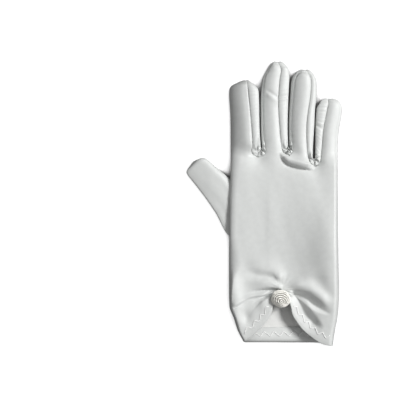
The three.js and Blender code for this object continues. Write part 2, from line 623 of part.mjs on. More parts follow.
// The thumb: a flattened tube whose rings stand on their two edges.
const THUMB_ROWS = 16;
const THUMB_SIDES = 18;
function thumbRing(along, shrink) {
  const rows = THUMB.map((row, i) => ({ ...row, at: i / (THUMB.length - 1) }));
  const value = (column) => read(rows, column, along, "at");
  const upper = new THREE.Vector2(value("upperX"), value("upperY"));
  const lower = new THREE.Vector2(value("lowerX"), value("lowerY"));
  const half = upper.distanceTo(lower) / 2;
  const height = value("height");
  const edge = value("lift") + height * THUMB_EDGE;
  const squared = (v) => Math.sign(v) * Math.abs(v) ** THUMB_SQUARENESS;
  return Array.from({ length: THUMB_SIDES }, (_, k) => {
    const angle = (2 * Math.PI * k) / THUMB_SIDES;
    const across = squared(Math.cos(angle));
    const rise = height * (Math.sin(angle) > 0 ? 1 - THUMB_EDGE : THUMB_EDGE);
    const up = squared(Math.sin(angle)) * Math.max(rise - shrink, 0.25);
    const middle = upper.clone().add(lower).multiplyScalar(0.5);
    const reach = (0.5 * across * Math.max(half - shrink, 0.5)) / half;
    const out = upper.clone().sub(lower).multiplyScalar(reach);
    return new THREE.Vector3(middle.x + out.x, middle.y + out.y, edge + up);
  });
}

function thumbTube(shrink, first, last) {
  const stations = Array.from({ length: THUMB_ROWS + 1 }, (_, i) => mix(first, last, i / THUMB_ROWS));
  return loft(stations.map((along) => thumbRing(along, shrink)));
}

// The hand's outside as one closed solid, a little larger, to trim the thumb where it meets the cloth.
function handEnvelope(normals) {
  const backTop = crotchRow(false);
  const palmTop = crotchRow(true);
  const rows = Array.from({ length: HAND_ROWS }, (_, i) => i + CUFF_ROWS);
  const rings = rows.map((r) => {
    const back = handRow(r, false, backTop);
    const palm = handRow(r, true, palmTop).slice(1, -1).reverse();
    return [...back, ...palm].map((p) => p.clone().addScaledVector(normals.get(placeOf(p)), CLEARANCE));
  });
  return loft(rings);
}

// The rose: a ball with one ridge that winds down from its top, cut flat where it sits on the gathers.
const ROSE_RINGS = 20;
const ROSE_SIDES = 26;
function roseSolid() {
  const foot = SEAT.height + CLEARANCE;
  const centre = new THREE.Vector3(ROSE.x, ROSE.y, foot + ROSE.waist);
  const lean = new THREE.Quaternion().setFromUnitVectors(
    new THREE.Vector3(0, 0, 1),
    new THREE.Vector3(ROSE_LEAN.x, -ROSE_LEAN.y, 1).normalize(),
  );
  const rings = Array.from({ length: ROSE_RINGS }, (_, r) => {
    const down = mix(0.05, 0.97, r / (ROSE_RINGS - 1)) * Math.PI;
    return Array.from({ length: ROSE_SIDES }, (_unused, k) => {
      const round = (2 * Math.PI * k) / ROSE_SIDES;
      const wave = Math.cos(2 * ROSE.turns * down - round);
      const reach = 1 + (ROSE.ridge / ROSE.radius) * 0.5 * (wave - 1);
      const p = new THREE.Vector3(
        Math.sin(down) * Math.cos(round) * ROSE.radius * reach,
        Math.sin(down) * Math.sin(round) * ROSE.radius * reach,
        Math.cos(down) * ROSE.rise * reach,
      );
      return p.applyQuaternion(lean).add(centre);
    });
  });
  const wide = 4 * ROSE.radius;
  const below = new THREE.BoxGeometry(wide, wide, wide).translate(ROSE.x, ROSE.y, foot - wide / 2);
  return loft(rings).subtract(solidOf(below));
}

// A closed three.js geometry as a solid.
function solidOf(geometry) {
  const position = geometry.getAttribute("position");
  const names = new Map();
  const points = [];
  const corner = Array.from({ length: position.count }, (_, i) => {
    const p = new THREE.Vector3().fromBufferAttribute(position, i);
    if (!names.has(placeOf(p))) names.set(placeOf(p), points.push(p) - 1);
    return names.get(placeOf(p));
  });
  const triangles = [];
  for (let i = 0; i < geometry.index.count; i += 3) {
    triangles.push([0, 1, 2].map((k) => corner[geometry.index.getX(i + k)]));
  }
  return solid(points, triangles);
}

const satin = new THREE.MeshStandardMaterial({ color: 0xdfe0df, roughness: 0.42, metalness: 0 });
const satinInside = new THREE.MeshStandardMaterial({ color: 0xd8d9d8, roughness: 0.5, metalness: 0 });
const pearl = new THREE.MeshStandardMaterial({ color: 0xe9e5dc, roughness: 0.22, metalness: 0 });

const trank = trankSheet();
const fourchettes = CROTCHES.map((_, index) => fourchetteSheet(index));
const normals = normalsOf([trank, ...fourchettes]);

const thumbHollow = thumbTube(WALL, 0, THUMB_HOLLOW);
const thumbOutside = thumbTube(0, THUMB_START, 1);
const thumb = thumbOutside.subtract(thumbHollow).subtract(handEnvelope(normals));

const glove = new THREE.Group();
glove.add(mesh("trank", thicken(trank, normals).subtract(thumbHollow), satin));
fourchettes.forEach((sheet, index) => {
  const name = `fourchette_${FINGERS[index].name}_${FINGERS[index + 1].name}`;
  glove.add(mesh(name, thicken(sheet, normals), satinInside));
});
glove.add(mesh("thumb", thumb, satin));
glove.add(mesh("rosette", roseSolid(), pearl));

export default glove;
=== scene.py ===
import math

import bpy
import numpy as np
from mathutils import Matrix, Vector


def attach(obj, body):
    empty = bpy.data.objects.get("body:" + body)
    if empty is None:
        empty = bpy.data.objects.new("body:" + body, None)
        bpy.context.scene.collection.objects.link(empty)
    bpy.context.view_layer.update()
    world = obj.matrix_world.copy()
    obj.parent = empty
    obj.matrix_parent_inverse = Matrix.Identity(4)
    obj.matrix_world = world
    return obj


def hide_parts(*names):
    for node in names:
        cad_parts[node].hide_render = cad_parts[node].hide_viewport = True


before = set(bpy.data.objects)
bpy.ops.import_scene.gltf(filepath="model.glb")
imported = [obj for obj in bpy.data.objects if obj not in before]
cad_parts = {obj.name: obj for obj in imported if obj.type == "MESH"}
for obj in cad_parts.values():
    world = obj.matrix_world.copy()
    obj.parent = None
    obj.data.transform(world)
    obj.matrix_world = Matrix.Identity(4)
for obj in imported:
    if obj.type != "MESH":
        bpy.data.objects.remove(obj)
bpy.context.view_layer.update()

# The trank
# The hand of the glove is one piece of white stretch satin: the back of the hand, the fold along the
# forefinger and the palm, slit between the fingers. Its back hem is gathered up into folds, and its hem is
# turned up inside. All lengths in this file are millimetres until a mesh is made.

# The hand, a row for each section: y, left edge, right edge, height of the edges, height of the crown
HAND = np.array(
    [
        (-115, -16.0, 55.7, 3.4, 9.6),
        (-111.7, -17.0, 56.0, 3.5, 9.9),
        (-103, -21.3, 57.3, 3.8, 10.6),
        (-93, -24.5, 59.2, 4.0, 11.4),
        (-83, -28.1, 60.2, 4.2, 11.9),
        (-70, -28.4, 60.7, 4.4, 11.4),
        (-45, -28.5, 60.0, 4.6, 9.8),
        (-26, -28.3, 59.7, 6.6, 9.8),
        (0, -27.8, 59.6, 7.0, 10.0),
        (18, -27.3, 59.5, 6.6, 10.0),
        (40, -27.2, 59.4, 4.4, 9.6),
    ]
)
RIGHT_EDGE = 4.4
WAIST_Y = -45.0

# How far in from an edge the cloth is rounded, for each millimetre that it rises, and how many times tighter
# than that it is folded: at the right edge, at the left one above the cuff, and at the left one on the cuff,
# which begins at the first y and is fully crisp from the second
SHOULDER = 2.3
RIGHT_CRISPNESS = 4.0
LEFT_CRISPNESS = 1.3
CUFF_CRISPNESS = 9.0
CUFF_TOP = -50.0
CUFF_CRISP_Y = -82.0

# The back hem from the fold to the side seam, share of the width, x, y: two swags that hang from the rose
BACK_HEM = np.array(
    [
        (0.0, -17.0, -111.7),
        (0.07, -11.4, -107.7),
        (0.14, -5.7, -102.8),
        (0.21, -0.4, -97.4),
        (0.27, 3.5, -92.6),
        (0.33, 6.0, -87.0),
        (0.4, 7.6, -80.6),
        (0.46, 10.5, -77.2),
        (0.5, 13.8, -76.6),
        (0.54, 17.2, -77.2),
        (0.6, 21.0, -81.5),
        (0.66, 22.4, -88.2),
        (0.73, 26.0, -94.6),
        (0.8, 31.0, -101.2),
        (0.87, 39.0, -108.2),
        (0.94, 47.5, -113.2),
        (1.0, 55.7, -115.0),
    ]
)

# The palm hem, share of the width, y
PALM_HEM = np.array([(0.0, -111.4), (0.7, -111.6), (0.85, -112.6), (1.0, -115.0)])

# The fingers: y, left, right, left seam, right seam, height; a row for each section up from the crotch
INDEX = np.array(
    [
        (37.4, -27.2, -2.0, -27.2, -5.0, 9.4),
        (39.5, -27.2, -2.1, -27.2, -9.2, 9.4),
        (42.5, -27.2, -2.2, -27.2, -10.4, 9.3),
        (47, -27.2, -2.9, -27.2, -9.5, 9.2),
        (60, -27.2, -3.9, -27.2, -10.2, 9.0),
        (75, -27.6, -4.2, -27.6, -11.6, 8.8),
        (88, -28.4, -4.5, -28.4, -13.0, 8.4),
        (92, -28.3, -5.0, -28.3, -13.3, 8.2),
        (95, -26.8, -7.6, -26.8, -13.5, 8.0),
        (98, -21.6, -10.6, -21.6, -13.9, 7.8),
        (100.3, -16.8, -13.4, -16.8, -14.6, 7.6),
    ]
)
MIDDLE = np.array(
    [
        (37.4, -1.0, 19.2, -5.0, 19.0, 9.4),
        (38.6, -1.2, 19.2, -1.5, 20.2, 9.4),
        (41.5, -1.4, 19.3, 0.6, 15.6, 9.4),
        (46, -1.7, 19.3, 0.2, 14.5, 9.4),
        (60, -2.6, 18.9, -1.3, 12.8, 9.2),
        (82, -2.7, 19.4, -1.5, 11.4, 9.0),
        (95, -2.1, 20.0, -1.0, 12.2, 8.8),
        (102, -1.2, 20.4, -0.1, 12.9, 8.6),
        (107, 1.2, 20.1, 2.2, 13.8, 8.4),
        (111, 3.4, 18.4, 4.2, 13.2, 8.0),
        (113.7, 5.5, 16.3, 6.4, 11.8, 7.8),
        (115.3, 8.4, 13.4, 9.2, 11.2, 7.6),
    ]
)
RING = np.array(
    [
        (29.8, 21.6, 39.4, 22.5, 40.9, 9.6),
        (33, 21.4, 39.3, 22.5, 37.2, 9.6),
        (38.6, 21.2, 39.3, 20.2, 35.6, 9.6),
        (41.5, 20.9, 39.3, 22.4, 35.0, 9.6),
        (47, 20.5, 39.5, 22.2, 34.6, 9.5),
        (55, 20.1, 40.0, 21.7, 34.1, 9.4),
        (65, 20.0, 40.6, 21.6, 34.3, 9.3),
        (75, 20.4, 41.0, 22.1, 35.7, 9.2),
        (88, 21.3, 42.4, 23.2, 37.8, 9.0),
        (97, 21.8, 42.5, 24.0, 38.4, 8.8),
        (102, 22.9, 41.5, 25.0, 37.8, 8.4),
        (105.5, 25.1, 39.5, 26.9, 36.0, 8.0),
        (107.5, 27.3, 37.5, 29.0, 35.0, 7.8),
        (108.8, 30.0, 34.8, 31.2, 33.6, 7.6),
    ]
)
LITTLE = np.array(
    [
        (29.8, 41.4, 59.4, 40.9, 59.4, 9.2),
        (33, 41.3, 59.4, 44.6, 59.4, 9.2),
        (38, 41.3, 59.4, 45.1, 59.4, 9.2),
        (48, 41.4, 59.6, 46.1, 59.6, 9.0),
        (58, 41.5, 60.3, 46.9, 60.3, 8.8),
        (70, 41.9, 62.4, 49.2, 62.4, 8.6),
        (77, 42.6, 63.1, 50.7, 63.1, 8.4),
        (81, 44.6, 62.0, 51.6, 62.0, 8.0),
        (83.5, 46.4, 60.0, 51.6, 60.0, 7.6),
        (85.3, 49.4, 56.0, 51.6, 56.0, 7.4),
    ]
)
FINGERS = [INDEX, MIDDLE, RING, LITTLE]
FINGER_NAMES = ["index", "middle", "ring", "little"]

# The height of a finger's widest line as a share of its own, the length of its rounded tip, the stretch over
# which its section runs into the hand's, and how much higher each finger stands on its right than its left
FINGER_EDGE = 0.42
NOSE = 6.5
ROOT = 13.0
TILTS = [6.2, 0.8, 2.0, 0.0]

# Where two fingers part: the slit in the back, x and y, in the gap, x and y, and in the palm, y
CROTCHES = [
    (-5.0, 37.4, -1.9, 44.0, 39.5),
    (20.2, 38.6, 20.1, 45.0, 40.5),
    (40.9, 29.8, 40.2, 36.5, 32.0),
]

# How far the cloth is drawn down round a crotch, on the back and on the palm, and how wide
BACK_DIP = 2.2
PALM_DIP = 0.8
DIP_WIDTH = 7.5

# Folds that run out from the gathers, and creases of the fingers. Each has a line of points, from its start:
# rise (down if negative), reach to its left and to its right, sharpness, fade at its start and its end.
# Sharpness is 0 for a round fold, 1 for a straight slope down to a crease and 2 for cloth that turns down
# steeply at a crease. On a side whose reach is negative, the fold rolls under, and ends in a step.
FOLDS = [
    # right of the rose: the long fold that rises to the side seam, and two deep creases
    ([(18.0, -67.8), (28.0, -65.8), (34.9, -68.4), (43.5, -73.5), (48.3, -78.4), (53.6, -83.3)],
     2.0, 4.6, 4.6, 0.0, 0.25, 0.25),
    ([(33.0, -58.0), (43.9, -63.8), (47.9, -68.7), (52.0, -73.5), (56.0, -80.0)],
     -0.8, 5.0, 5.0, 0.0, 0.35, 0.2),
    ([(20.6, -70.8), (27.2, -73.4), (34.5, -77.6), (39.4, -81.6), (47.1, -85.9), (55.0, -89.8)],
     -3.2, 6.2, 3.2, 1.0, 0.1, 0.4),
    ([(21.4, -71.6), (24.6, -74.6), (28.8, -80.8), (31.1, -85.7), (33.7, -90.6), (39.0, -95.5),
      (46.6, -101.8)],
     -4.5, 5.8, 12.0, 1.0, 0.1, 0.25),
    # left of the rose: a broad fold, a hollow, a narrow fold that rolls under, and the crease below it
    ([(13.0, -63.6), (11.4, -60.1), (8.6, -56.2), (3.2, -53.6), (-3.0, -52.4), (-16.0, -49.5)],
     1.6, 4.6, 9.0, 0.0, 0.15, 0.45),
    ([(12.2, -64.2), (9.8, -60.8), (4.9, -58.9), (-1.6, -57.9), (-8.0, -57.0), (-16.0, -56.4)],
     -0.8, 2.6, 3.2, 0.0, 0.25, 0.3),
    ([(15.0, -67.4), (10.5, -66.4), (6.5, -65.2), (2.4, -64.2), (-2.4, -64.0), (-9.0, -64.6), (-17.0, -67.0)],
     2.7, -5.6, 3.0, 0.0, 0.1, 0.7),
    ([(13.5, -69.6), (6.5, -69.2), (2.4, -69.7), (-1.6, -70.4), (-6.5, -71.1), (-11.4, -72.0),
      (-16.5, -73.2)],
     -1.4, 3.4, 2.0, 1.4, 0.05, 0.5),
    # fine creases along the left flap, and the fold between them that runs to its corner
    ([(6.0, -72.0), (-3.0, -73.2), (-11.0, -75.0), (-18.0, -78.4), (-27.0, -82.6)],
     1.0, 1.6, 2.6, 0.0, 0.2, 0.1),
    ([(4.0, -73.6), (-1.6, -75.2), (-7.5, -76.2), (-13.4, -77.6), (-18.0, -80.6), (-26.0, -84.8)],
     -0.8, 1.4, 0.9, 0.8, 0.2, 0.1),
    ([(2.0, -73.6), (-4.5, -76.8), (-7.7, -79.2), (-10.4, -82.4)],
     -0.5, 0.9, 0.9, 0.6, 0.2, 0.4),
    ([(8.0, -70.6), (2.8, -72.9), (-2.2, -76.0), (-7.4, -80.6)],
     -0.6, 1.2, 0.9, 0.6, 0.1, 0.5),
    # the crease beside the left flap's hem, and the round hem itself
    ([(10.5, -69.8), (5.7, -71.9), (2.4, -74.3), (0.0, -76.4), (-2.2, -78.0), (-6.0, -82.0), (-10.0, -86.5)],
     -1.5, 1.2, 2.6, 1.0, 0.05, 0.9),
    ([(6.6, -72.8), (3.3, -75.2), (0.9, -77.3), (-1.3, -78.9), (-5.0, -82.8), (-9.2, -88.0), (-12.0, -96.0)],
     1.2, 4.0, 1.3, 0.0, 0.05, 0.8),
    # the pocket under the middle and ring fingers: cloth that rolls under along its lower side, and its crest
    ([(12.6, 42.6), (16.2, 37.8), (20.7, 34.8), (27.0, 32.8), (34.0, 31.2), (41.0, 30.0)],
     4.0, 5.0, -3.6, 0.0, 0.3, 0.2),
    ([(12.6, 43.0), (16.2, 38.4), (20.7, 35.6), (27.0, 33.8), (34.0, 32.0), (41.0, 30.6)],
     0.8, 1.3, 2.6, 1.0, 0.3, 0.2),
    ([(13.0, 37.6), (18.3, 31.6), (24.4, 29.0), (32.5, 27.4), (38.6, 27.0), (43.0, 28.2)],
     -1.0, 2.0, 3.4, 1.6, 0.3, 0.3),
    # creases across the middle and little fingers
    ([(-0.6, 92.4), (3.3, 90.2), (7.3, 87.4), (12.6, 84.0)],
     -0.9, 1.6, 0.9, 0.5, 0.3, 0.1),
    ([(0.4, 89.8), (3.6, 87.6), (7.3, 85.2), (12.2, 81.8)],
     0.7, 1.4, 2.6, 0.0, 0.3, 0.1),
    ([(41.0, 66.2), (44.0, 64.4), (47.0, 62.4)],
     -0.8, 1.2, 0.9, 0.6, 0.1, 0.2),
    ([(41.0, 64.2), (44.0, 62.4), (47.0, 60.2)],
     0.7, 1.0, 1.6, 0.0, 0.1, 0.2),
    # the ends of the strips, which are lapped over the tips of the middle and ring fingers
    ([(13.4, 110.2), (12.4, 112.2), (10.4, 113.5), (7.4, 113.9)],
     -0.8, 0.8, 0.8, 0.6, 0.05, 0.1),
    ([(25.4, 102.2), (27.2, 104.8), (30.0, 106.3), (33.2, 106.4), (35.6, 105.2), (37.4, 102.6)],
     -0.9, 0.8, 0.8, 0.6, 0.05, 0.05),
]

# Steps that a fold's line is cut into, how many reaches away it still counts, its width where it leaves the
# gathers as a share of its full one, and the radius of a crease
FOLD_STEPS = 26
FOLD_FAR = 3.2
FOLD_NECK = 0.45
CREASE_RADIUS = 0.3

# Wide swells and hollows of the back: x, y, half-widths to the left, right and along, turn in degrees, rise
SWELLS = [
    (55.5, -34.0, 29.0, 6.0, 62.0, 0.0, 6.8),
    (55.0, -44.0, 16.0, 6.0, 32.0, 0.0, 4.0),
    (44.0, -60.0, 7.0, 7.0, 6.0, -30.0, -0.7),
    (-25.0, -67.0, 5.0, 6.5, 12.0, 0.0, 2.2),
    (-22.0, -80.0, 5.0, 6.0, 8.0, 0.0, 1.4),
    (-22.2, -92.0, 2.6, 5.5, 9.0, 20.0, 2.0),
    (-1.0, -80.0, 4.0, 8.0, 7.0, 0.0, 1.3),
    (-15.0, -91.5, 3.5, 3.6, 5.0, 0.0, -1.3),
    (4.4, -14.0, 3.0, 8.0, 30.0, 0.0, 0.3),
    (46.0, 14.0, 9.0, 9.0, 16.0, 0.0, -1.0),
    (-15.0, 22.0, 8.0, 8.0, 14.0, 0.0, 0.35),
    (13.0, -60.0, 5.0, 5.0, 6.0, 0.0, 0.5),
]

# Where the gathering thread pulls, how many small pleats it leaves round it, how deep, how far out and how
# broad, and how uneven the unpressed satin is
GATHER = (13.8, -68.9)
PLEATS = 19
PLEAT_DEPTH = 0.34
PLEAT_RING = 7.5
PLEAT_SPREAD = 4.5
UNEVEN = 0.05

# Where the rose sits, and the height and the radius of the patch of cloth that it is sewn to
ROSE_AT = (13.9, -77.4)
SEAT = 11.6
SEAT_RADIUS = 6.5


def curve(xs, ys):
    """A smooth line through a table's rows that never overshoots them."""
    slope = np.diff(ys) / np.diff(xs)
    tangent = np.concatenate([slope[:1], slope[:-1] * 0, slope[-1:]])
    same_way = slope[:-1] * slope[1:] > 0
    before, after = slope[:-1][same_way], slope[1:][same_way]
    tangent[1:-1][same_way] = 2 * before * after / (before + after)

    def at(v):
        v = np.clip(v, xs[0], xs[-1])
        i = np.clip(np.searchsorted(xs, v, side="right") - 1, 0, len(xs) - 2)
        step = xs[i + 1] - xs[i]
        t = (v - xs[i]) / step
        low = (2 * t**3 - 3 * t**2 + 1) * ys[i] + (t**3 - 2 * t**2 + t) * step * tangent[i]
        return low + (3 * t**2 - 2 * t**3) * ys[i + 1] + (t**3 - t**2) * step * tangent[i + 1]

    return at


def mix(a, b, t):
    return a + (b - a) * t


def smooth(low, high, v):
    """0 at low and 1 at high, with a smooth start and end."""
    t = np.clip((v - low) / (high - low), 0, 1)
    return t * t * (3 - 2 * t)


def rounding(from_edge, shoulder):
    """Height, 0 at an edge and 1 past its shoulder, of a quarter ellipse that long."""
    t = np.clip(1 - from_edge / np.maximum(shoulder, 1e-6), 0, 1)
    return np.sqrt(1 - t * t)


def run_length(points, axis=0):
    """Length from its start along a line of points, or along each line of a patch."""
    steps = np.linalg.norm(np.diff(points, axis=axis), axis=-1)
    start = np.zeros_like(np.take(steps, [0], axis=axis))
    return np.concatenate([start, np.cumsum(steps, axis=axis)], axis=axis)


hand_left, hand_right, edge_height, crown_height = [curve(HAND[:, 0], HAND[:, k]) for k in (1, 2, 3, 4)]


def fold_line(points):
    """The points of a fold's line, close together."""
    points = np.array(points, float)
    along = run_length(points)
    at = np.linspace(0, along[-1], FOLD_STEPS)
    return np.column_stack([curve(along, points[:, 0])(at), curve(along, points[:, 1])(at)])


def fold_shape(best, width, sharp):
    """A fold's height across its line, 1 on the line itself, from round to sharp."""
    round_top = np.exp(-((best / width) ** 2))
    from_crease = np.sqrt(best**2 + CREASE_RADIUS**2) - CREASE_RADIUS
    to_rim = 1 - from_crease / width
    slope = 0.5 * (to_rim + np.sqrt(to_rim**2 + 0.03)) / 1.0074
    steep = np.exp(-from_crease / (0.5 * width))
    return mix(mix(round_top, slope, min(sharp, 1)), steep, max(sharp - 1, 0))


def folds(x, y):
    """Height that the folds add. Each is narrow where it leaves the gathers, and dies away at its ends."""
    total = np.zeros_like(x)
    for points, rise, left, right, sharp, start, end in FOLDS:
        line = fold_line(points)
        reach = FOLD_FAR * max(abs(left), abs(right))
        near = (x > line[:, 0].min() - reach) & (x < line[:, 0].max() + reach)
        near &= (y > line[:, 1].min() - reach) & (y < line[:, 1].max() + reach)
        px, py = x[near], y[near]
        best = np.full(px.shape, 1e9)
        side = np.zeros(px.shape)
        along = np.zeros(px.shape)
        for i in range(len(line) - 1):
            (ax, ay), (bx, by) = line[i], line[i + 1]
            ux, uy = bx - ax, by - ay
            t = np.clip(((px - ax) * ux + (py - ay) * uy) / (ux * ux + uy * uy), 0, 1)
            away = np.hypot(px - ax - t * ux, py - ay - t * uy)
            closer = away < best
            best = np.where(closer, away, best)
            side = np.where(closer, ux * (py - ay) - uy * (px - ax), side)
            along = np.where(closer, (i + t) / (len(line) - 1), along)
        width = np.where(side > 0, left, right) * mix(FOLD_NECK, 1.0, smooth(0.0, 0.4, along))
        rolled = width < 0
        width = np.abs(width) * (1 - 0.5 * min(sharp, 1) * smooth(0.6, 1.0, along))
        shape = np.where(rolled, rounding(width - best, width), fold_shape(best, width, sharp))
        total[near] += rise * shape * smooth(0, start, along) * (1 - smooth(1 - end, 1, along))
    return total


def swells(x, y):
    total = np.zeros_like(x)
    for cx, cy, left, right, length, turn, rise in SWELLS:
        a = math.radians(turn)
        u = (x - cx) * math.cos(a) + (y - cy) * math.sin(a)
        u /= np.where(u > 0, right, left)
        v = (-(x - cx) * math.sin(a) + (y - cy) * math.cos(a)) / length
        total += rise * np.exp(-(u * u) - v * v)
    return total


def ripples(x, y):
    """Small pleats that the gathering thread leaves, and the faint unevenness of unpressed satin."""
    away = np.hypot(x - GATHER[0], y - GATHER[1])
    turn = np.arctan2(y - GATHER[1], x - GATHER[0])
    pleats = PLEAT_DEPTH * np.cos(PLEATS * turn + 1.4 * np.sin(3 * turn))
    pleats *= np.exp(-(((away - PLEAT_RING) / PLEAT_SPREAD) ** 2))
    pleats *= 0.35 + 0.65 * smooth(0.35, -0.35, np.sin(turn))
    uneven = UNEVEN * np.sin(0.31 * x + 0.9 * np.sin(0.05 * y)) * np.cos(0.043 * y + 0.6)
    uneven += UNEVEN * np.sin(0.17 * x - 0.11 * y + 1.7) + 0.6 * UNEVEN * np.sin(0.47 * x + 0.15 * y)
    return pleats + uneven


def crotch_dip(x, y, depth):
    total = np.zeros_like(x)
    for slit_x, slit_y, *_ in CROTCHES:
        total += depth * np.exp(-((x - slit_x) ** 2 + (y - slit_y) ** 2) / DIP_WIDTH**2)
    return total


def hand_share(x, y):
    """Where a place lies across the hand, from 0 at its left edge to 1 at its right."""
    return (x - hand_left(y)) / (hand_right(y) - hand_left(y))


def hand_inset(x, y):
    """Distance from the hand's edge, counted faster where the edge is a crisper fold."""
    crispness = mix(LEFT_CRISPNESS, CUFF_CRISPNESS, smooth(CUFF_TOP, CUFF_CRISP_Y, y))
    inset = np.minimum((x - hand_left(y)) * crispness, RIGHT_CRISPNESS * (hand_right(y) - x))
    return np.where(inset < 0.1, 0, inset)


def hand_edge(x, y):
    """Height of the hand's widest line, which is lower towards the side seam."""
    across = smooth(0.1, 0.6, hand_share(x, y))
    return mix(edge_height(y), np.minimum(RIGHT_EDGE, edge_height(y)), across)


def relief(x, y):
    return folds(x, y) + swells(x, y) + ripples(x, y)


def hand_top(x, y):
    edge = hand_edge(x, y)
    from_rose = np.hypot(x - ROSE_AT[0], y - ROSE_AT[1]) / SEAT_RADIUS
    free = crown_height(y) + relief(x, y) - crotch_dip(x, y, BACK_DIP)
    crown = mix(SEAT, free, smooth(0.7, 1.45, from_rose))
    return edge + (crown - edge) * rounding(hand_inset(x, y), SHOULDER * (crown_height(y) - edge))


def hand_bottom(x, y):
    edge = hand_edge(x, y)
    return edge - (edge - crotch_dip(x, y, PALM_DIP)) * rounding(hand_inset(x, y), SHOULDER * edge)


def section(finger, y):
    """A finger's section: its edges, widest line, height, and how far its tip is still open."""
    rows = FINGERS[finger]
    left, right, height = [curve(rows[:, 0], rows[:, k])(y) for k in (1, 2, 5)]
    return left, right, FINGER_EDGE * height, height, rounding(rows[-1, 0] - y, NOSE)


def finger_point(finger, x, y, base, palm):
    """A point of a finger's back or palm panel, whose section runs into the hand's at its base."""
    left, right, edge, height, opened = section(finger, y)
    inset = np.minimum(x - left, right - x)
    half = (right - left) / 2
    into = 1 - smooth(base, base + ROOT, y)
    if palm:
        drop = edge * opened
        z = edge - drop * rounding(inset, np.minimum(half, SHOULDER * drop))
        return np.stack([x, y, mix(z, hand_bottom(x, y), into)], -1)
    rise = (height - edge) * opened
    up = rounding(inset, np.minimum(half, SHOULDER * rise))
    z = edge + rise * up + (folds(x, y) + 0.6 * ripples(x, y)) * up * opened
    z += TILTS[finger] * opened * np.clip((x - left) / (right - left) * 1.5, 0, 1)
    return np.stack([x, y, mix(z, hand_top(x, y), into)], -1)


# Rows of cloth up a finger: the length and number of those at the crotch, of those round the tip, and the
# number between them
CROTCH_LENGTH = 8.5
CROTCH_STEPS = 15
TIP_LENGTH = 9.5
TIP_STEPS = 24
SHAFT_STEPS = 52


def finger_rows(base, tip):
    """The y of each row of cloth up a finger: close together at its base and round its tip."""
    low = CROTCH_LENGTH * np.linspace(0, 1, CROTCH_STEPS) ** 1.25
    from_tip = TIP_LENGTH * (1 - np.sin(np.linspace(0, math.pi / 2, TIP_STEPS)))
    shaft = np.linspace(low[-1], tip - base - from_tip[0], SHAFT_STEPS)[1:-1]
    return base + np.concatenate([low, shaft, tip - base - from_tip])


def seam_of(finger, side, y):
    return curve(FINGERS[finger][:, 0], FINGERS[finger][:, 3 if side == "left" else 4])(y)


# How far the palm's seams lie inside a finger's edges, and how soon they leave the crotch
PALM_SEAM_IN = 3.2
PALM_SEAM_RUN = 5.5


def palm_seam(finger, side, y, base):
    """The edge of a finger's palm panel: near the finger's edge, and on the back's seam at the tip."""
    outer = section(finger, y)[0 if side == "left" else 1]
    if (finger, side) in ((0, "left"), (3, "right")):
        return outer
    inner = outer + (PALM_SEAM_IN if side == "left" else -PALM_SEAM_IN)
    tip = FINGERS[finger][-1, 0]
    along = mix(inner, seam_of(finger, side, y), smooth(tip - 3 * NOSE, tip - NOSE, y))
    crotch = CROTCHES[finger - 1] if side == "left" else CROTCHES[finger]
    return mix(crotch[0], along, smooth(base - 0.01, base + PALM_SEAM_RUN, y))


def inward(finger, at, base, palm):
    """The way in which a seam sinks: towards the finger's middle line, and straight in at its base."""
    x, y, z = at[..., 0], at[..., 1], at[..., 2]
    left, right, edge, _, opened = section(finger, y)
    into = (1 - smooth(base, base + 6, y))[..., None]
    way = np.stack([((left + right) / 2 - x) * 0.35, -3.0 * (1 - opened), edge - z], -1)
    way /= np.linalg.norm(way, axis=-1, keepdims=True) + 1e-9
    way = way * (1 - into) + into * np.array([0, 0, 1.0 if palm else -1.0])
    return way / (np.linalg.norm(way, axis=-1, keepdims=True) + 1e-9)


# How far the cloth sinks beside a finger's left seam, where it is taut, and its right seam: a narrow groove
# at the stitches, and a wide hollow
GROOVE = {"left": 0.3, "right": 0.55}
PULL = {"left": 0.3, "right": 1.3}
GROOVE_WIDTH = 0.7
PULL_WIDTH = 3.6

# The side seam's groove: its depth, its width and how far it lies from the right edge
SIDE_SEAM_DEPTH = 0.4
SIDE_SEAM_WIDTH = 0.5
SIDE_SEAM_IN = 1.5


def groove(side, away, along):
    """How deep the cloth is drawn in beside a seam, a little unevenly where the stitches pull."""
    pucker = 1 + 0.16 * np.sin(2.05 * along) + 0.1 * np.sin(3.3 * along + 1.2)
    pull = (PULL[side] + 0.06 * np.sin(1.55 * along + 0.4)) * np.exp(-((away / PULL_WIDTH) ** 2))
    return GROOVE[side] * pucker * np.exp(-((np.maximum(away, 0) / GROOVE_WIDTH) ** 1.5)) + pull


def side_seam(from_edge):
    return SIDE_SEAM_DEPTH * np.exp(-(((from_edge - SIDE_SEAM_IN) / SIDE_SEAM_WIDTH) ** 2))


def at_tip_shallower(tip, y):
    """Share of its depth that a seam's groove has: less at the very tip."""
    return smooth(0, 3, tip - y) * 0.6 + 0.4


